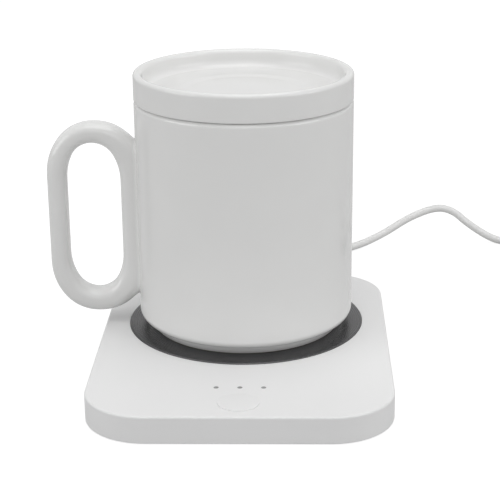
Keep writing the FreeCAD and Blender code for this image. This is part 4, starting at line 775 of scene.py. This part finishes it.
def lid_profile(lid, wall):
    """Half section of the lid: the ring that drops into the mug, the side and rim, then the tray."""
    radius = (LID_HIGH.x - LID_LOW.x) / 2
    high, bottom, low = LID_HIGH.z, MUG_HIGH.z, LID_LOW.z
    ring_out = MUG_RADIUS - wall - lid.gap
    ring_in = ring_out - lid.ring
    tray = radius - lid.rim_width
    floor = bottom + lid.floor
    inner_rim = lid.rim_width - lid.rim - lid.rim_flat
    # The straight parts keep clear of the rounds by these margins.
    below, above, inside = 1.5 * MM, 1.0 * MM, 0.5 * MM
    return np.concatenate([
        [[0.0, bottom], [ring_in - lid.edge, bottom]],
        arc((ring_in + lid.edge, low + lid.edge), lid.edge, 180, 270, 4),
        arc((ring_out - lid.edge, low + lid.edge), lid.edge, 270, 360, 4),
        [[ring_out, bottom - lid.edge], [ring_out + lid.edge, bottom], [radius - lid.seat, bottom]],
        [[radius - lid.seat, bottom + lid.shadow_gap]],
        arc((radius - lid.lower, bottom + lid.shadow_gap + lid.lower), lid.lower, -90, 0, 5),
        even_line((radius, bottom + below), (radius, high - lid.rim - above), 6),
        arc((radius - lid.rim, high - lid.rim), lid.rim, 0, 90),
        arc((tray + inner_rim, high - inner_rim), inner_rim, 90, 180),
        [[tray, floor + lid.fillet + inside]],
        arc((tray - lid.fillet, floor + lid.fillet), lid.fillet, 0, -90),
        soft_step((lid.step_start, floor), (lid.step_end, floor - lid.step)),
        [[0.0, floor - lid.step]],
    ])


class WARMER_OT_lid(bpy.types.Operator):
    """Turn the lid with its shallow tray and the ring that drops into the mug"""
    bl_idname = "warmer.lid"
    bl_label = "Lid"

    def execute(self, context):
        mug = context.scene.warmer_mug
        profile = lid_profile(context.scene.warmer_lid, mug.wall)
        lid = turned_pottery("lid_glazed", profile, context.scene.warmer_stage.steps_round)
        dress(lid, glazed_stoneware(mug.glaze), "lid", "lid_glaze", "lid")
        return {"FINISHED"}


class WARMER_OT_slab(bpy.types.Operator):
    """Finish the slab: covers, pad, button, windows and plate"""
    bl_idname = "warmer.slab"
    bl_label = "Slab and plate"

    def execute(self, context):
        settings = context.scene.warmer_slab
        # Moulded in a spark-eroded mould: an even satin. Its grain of 0.06 mm is drawn at 0.3 mm.
        housing = fine_finish("Moulded ABS, satin white", settings.housing, 0.3, 0.46, 0.012, cloud=35.0,
                              contrast=0.012, IOR=1.53, Specular_IOR_Level=0.4)
        repaint(housing, "top_cover", "bottom_cover")
        repaint(turned_aluminium(settings.plate), "heating_plate")
        # Unlit windows: smoky and smooth, with a soft gloss.
        smoky = fine_finish("Smoky polycarbonate", settings.window, 0.5, 0.25, 0.002, contrast=0.1, IOR=1.58)
        repaint(smoky, "light_pipes")
        # Die cut silicone pad: dull and slightly rubbery.
        pad = fine_finish("Grey silicone", settings.pad, 0.8, 0.7, 0.05, contrast=0.1)
        repaint(pad, "non_slip_pad")
        radius = settings.button_radius
        top, edge = COVER_HIGH.z + settings.button_proud, settings.button_edge
        bottom = top - settings.button_depth
        profile = np.concatenate([
            [[0.0, bottom], [radius, bottom], [radius, top - 2 * edge]],
            arc((radius - edge, top - edge), edge, 0, 90, 6),
            [[0.0, top]],
        ])
        points, faces = turned_mesh(profile, context.scene.warmer_stage.steps_round)
        # The cap leans: its height over the housing grows evenly from its back to its front.
        points[:, 2] += settings.button_raise * (0.5 - points[:, 1] / (2 * radius))
        centre = (BUTTON_LOW + BUTTON_HIGH) / 2
        button = mesh_object("button", points + np.array([centre.x, centre.y, 0.0]), faces,
                             SHARP_MOULDED)
        dress(button, housing, "button", "button_white", "button_cap")
        return {"FINISHED"}


# Finishes of the pieces inside: name, colour, grain in millimetres, roughness, depth of the grain in
# millimetres, metallic share, and the nodes that have it. The grains are drawn coarse enough to show.
INNER_FINISHES = [
    # Pressed and zinc plated: pale grey with a cloudy shine.
    ("Zinc plated steel", "#B4B6B8", 1.5, 0.32, 0.01, 1.0,
     ("clamp_plate", "fuse_clip", "heater_screws", "board_screws", "case_screws")),
    # Folded and nickel plated: bright and smooth.
    ("Nickel plated steel", "#C9CACC", 4.0, 0.18, 0.005, 1.0, ("plug_shell",)),
    # Thin gold over copper: warm yellow, even shine.
    ("Gold plate", "#D8B468", 1.0, 0.25, 0.005, 1.0, ("plug_contacts",)),
    # Die cut rubber: dull and even.
    ("Red silicone", "#B0382C", 1.0, 0.65, 0.03, 0.0, ("plate_gasket",)),
    # Etched foil in amber film: smooth with a low gloss.
    ("Polyimide film", "#A8641C", 6.0, 0.30, 0.01, 0.0, ("heater_film",)),
    # Pressed fibres: quite matt and slightly rough.
    ("Pressed mineral felt", "#C9C5BB", 0.9, 0.90, 0.20, 0.0, ("insulation_pad",)),
    # Glass laminate under green varnish: satin.
    ("Green circuit laminate", "#1E5B34", 2.0, 0.40, 0.02, 0.0, ("circuit_board",)),
    # Moulded filled resin: near black and matt.
    ("Black moulding resin", "#1B1B1D", 0.4, 0.60, 0.02, 0.0,
     ("microcontroller", "power_transistor", "board_chips", "switch_body")),
    # Cast resin over a yellowish chip: pale and glossy.
    ("Clear lamp resin", "#EFE9C8", 0.5, 0.25, 0.01, 0.0, ("indicator_leds",)),
    # Moulded plastic: plain satin.
    ("Ivory moulding", "#D8CFB4", 0.5, 0.50, 0.02, 0.0, ("switch_plunger",)),
    # Moulded nylon: milky satin.
    ("White nylon", "#DEDDD8", 0.6, 0.45, 0.02, 0.0, ("cord_stop", "plug_tongue")),
    # Melted glass over a chip: amber and very glossy.
    ("Glass bead", "#C98A55", 0.4, 0.12, 0.01, 0.0, ("thermistor",)),
    # Deep drawn tinned can: soft grey shine.
    ("Drawn metal can", "#BDBCB8", 0.7, 0.35, 0.01, 1.0, ("thermal_fuse",)),
    # Extruded insulation: smooth satin, told apart by its colour.
    ("White wire insulation", "#DAD9D4", 1.0, 0.45, 0.02, 0.0, ("heater_leads",)),
    ("Blue wire insulation", "#27408B", 1.0, 0.45, 0.02, 0.0, ("thermistor_leads",)),
    ("Red wire insulation", "#A81E1A", 1.0, 0.45, 0.02, 0.0, ("supply_leads",)),
]


class WARMER_OT_inner_pieces(bpy.types.Operator):
    """Finish the pieces inside the slab and in the plug"""
    bl_idname = "warmer.inner_pieces"
    bl_label = "Inner pieces"

    def execute(self, context):
        for name, colour, grain, roughness, depth, metallic, nodes in INNER_FINISHES:
            finish = fine_finish(name, linear(colour), grain, roughness, depth,
                                 contrast=0.1, Metallic=metallic)
            repaint(finish, *nodes)
        return {"FINISHED"}


def area_lamp(name, place, size, watts):
    """A soft lamp that points at the object's middle."""
    data = bpy.data.lights.new(name, "AREA")
    data.shape = "RECTANGLE"
    data.size, data.size_y = size
    data.energy = watts
    lamp = bpy.data.objects.new(name, data)
    lamp.location = place
    aim = Vector(OBJECT_MIDDLE) - lamp.location
    lamp.rotation_euler = aim.to_track_quat("-Z", "Y").to_euler()
    bpy.context.scene.collection.objects.link(lamp)


def shown_white(tree, share):
    """1 for what the camera sees, the share for what a mirror or clear piece shows of it, else 0."""
    rays = add_node(tree, "ShaderNodeLightPath").outputs
    mirrored = add_node(tree, "ShaderNodeMath", {
        0: rays["Is Glossy Ray"], 1: rays["Is Transmission Ray"]}, operation="MAXIMUM")
    part = add_node(tree, "ShaderNodeMath", {0: mirrored.outputs[0], 1: share}, operation="MULTIPLY")
    white = add_node(tree, "ShaderNodeMath", {
        0: part.outputs[0], 1: rays["Is Camera Ray"]}, operation="MAXIMUM")
    return white.outputs[0]


def floor_material(settings):
    """Painted studio floor: pale for the light, and white for the camera but for the shadows on it."""
    material, tree, _ = new_material("Pale studio floor")
    matt = add_node(tree, "ShaderNodeBsdfDiffuse", {"Color": settings.floor})
    # What is left beside the glow is lit by the lamps, so it keeps the shadow of the object.
    left = FLOOR_LEVEL - settings.floor_glow
    shadowed = add_node(tree, "ShaderNodeBsdfDiffuse", {"Color": (left, left, left, 1.0)})
    glow = add_node(tree, "ShaderNodeEmission", {"Strength": settings.floor_glow})
    shown = add_node(tree, "ShaderNodeAddShader", {0: shadowed.outputs[0], 1: glow.outputs[0]})
    surface = add_node(tree, "ShaderNodeMixShader", {
        0: shown_white(tree, settings.mirrored_glow), 1: matt.outputs[0], 2: shown.outputs[0]})
    add_node(tree, "ShaderNodeOutputMaterial", {"Surface": surface.outputs[0]})
    return material


class WARMER_OT_stage(bpy.types.Operator):
    """Set the pale floor, the even room light and the soft lamps"""
    bl_idname = "warmer.stage"
    bl_label = "Stage"

    def execute(self, context):
        settings = context.scene.warmer_stage
        corners = np.array([(-1.0, -1.0, 0.0), (1.0, -1.0, 0.0), (1.0, 1.0, 0.0), (-1.0, 1.0, 0.0)])
        floor = mesh_object("floor", corners * FLOOR_HALF_WIDTH, [(0, 1, 2, 3)], SHARP_GLAZED)
        floor.data.materials.append(floor_material(settings))
        world = bpy.data.worlds.new("Studio")
        context.scene.world = world
        world.use_nodes = True
        tree = world.node_tree
        tree.nodes.clear()
        level = add_node(tree, "ShaderNodeMapRange", {
            "Value": shown_white(tree, 1.0), "To Min": settings.room, "To Max": 1.0})
        backdrop = add_node(tree, "ShaderNodeBackground", {"Strength": level.outputs["Result"]})
        add_node(tree, "ShaderNodeOutputWorld", {"Surface": backdrop.outputs[0]})
        for name, setting, place, size in LAMPS:
            area_lamp(name, place, size, getattr(settings, setting))
        context.scene.view_settings.view_transform = "Standard"
        return {"FINISHED"}


class WARMER_PT_pieces(bpy.types.Panel):
    """Lists the pieces that can be made"""
    bl_idname = "WARMER_PT_pieces"
    bl_label = "Mug Warmer"
    bl_space_type = "VIEW_3D"
    bl_region_type = "UI"
    bl_category = "Mug Warmer"

    def draw(self, context):
        for piece in PIECES:
            self.layout.operator(piece.bl_idname)


SETTINGS = {
    "warmer_mug": MugSettings,
    "warmer_handle": HandleSettings,
    "warmer_lid": LidSettings,
    "warmer_slab": SlabSettings,
    "warmer_cord": CordSettings,
    "warmer_stage": StageSettings,
}
PIECES = (WARMER_OT_camera, WARMER_OT_cord, WARMER_OT_mug, WARMER_OT_handle, WARMER_OT_lid,
          WARMER_OT_slab, WARMER_OT_inner_pieces, WARMER_OT_stage)
CLASSES = tuple(SETTINGS.values()) + PIECES + (WARMER_PT_pieces,)


def register():
    """Adds the settings, the operators and the panel."""
    for item in CLASSES:
        bpy.utils.register_class(item)
    for name, group in SETTINGS.items():
        setattr(bpy.types.Scene, name, PointerProperty(type=group))


def unregister():
    """Takes away what register adds."""
    for name in SETTINGS:
        delattr(bpy.types.Scene, name)
    for item in reversed(CLASSES):
        bpy.utils.unregister_class(item)


def main():
    register()
    bpy.ops.warmer.camera()
    bpy.ops.warmer.cord()
    bpy.ops.warmer.mug()
    bpy.ops.warmer.handle()
    bpy.ops.warmer.lid()
    bpy.ops.warmer.slab()
    bpy.ops.warmer.inner_pieces()
    bpy.ops.warmer.stage()


if __name__ == "__main__":
    main()
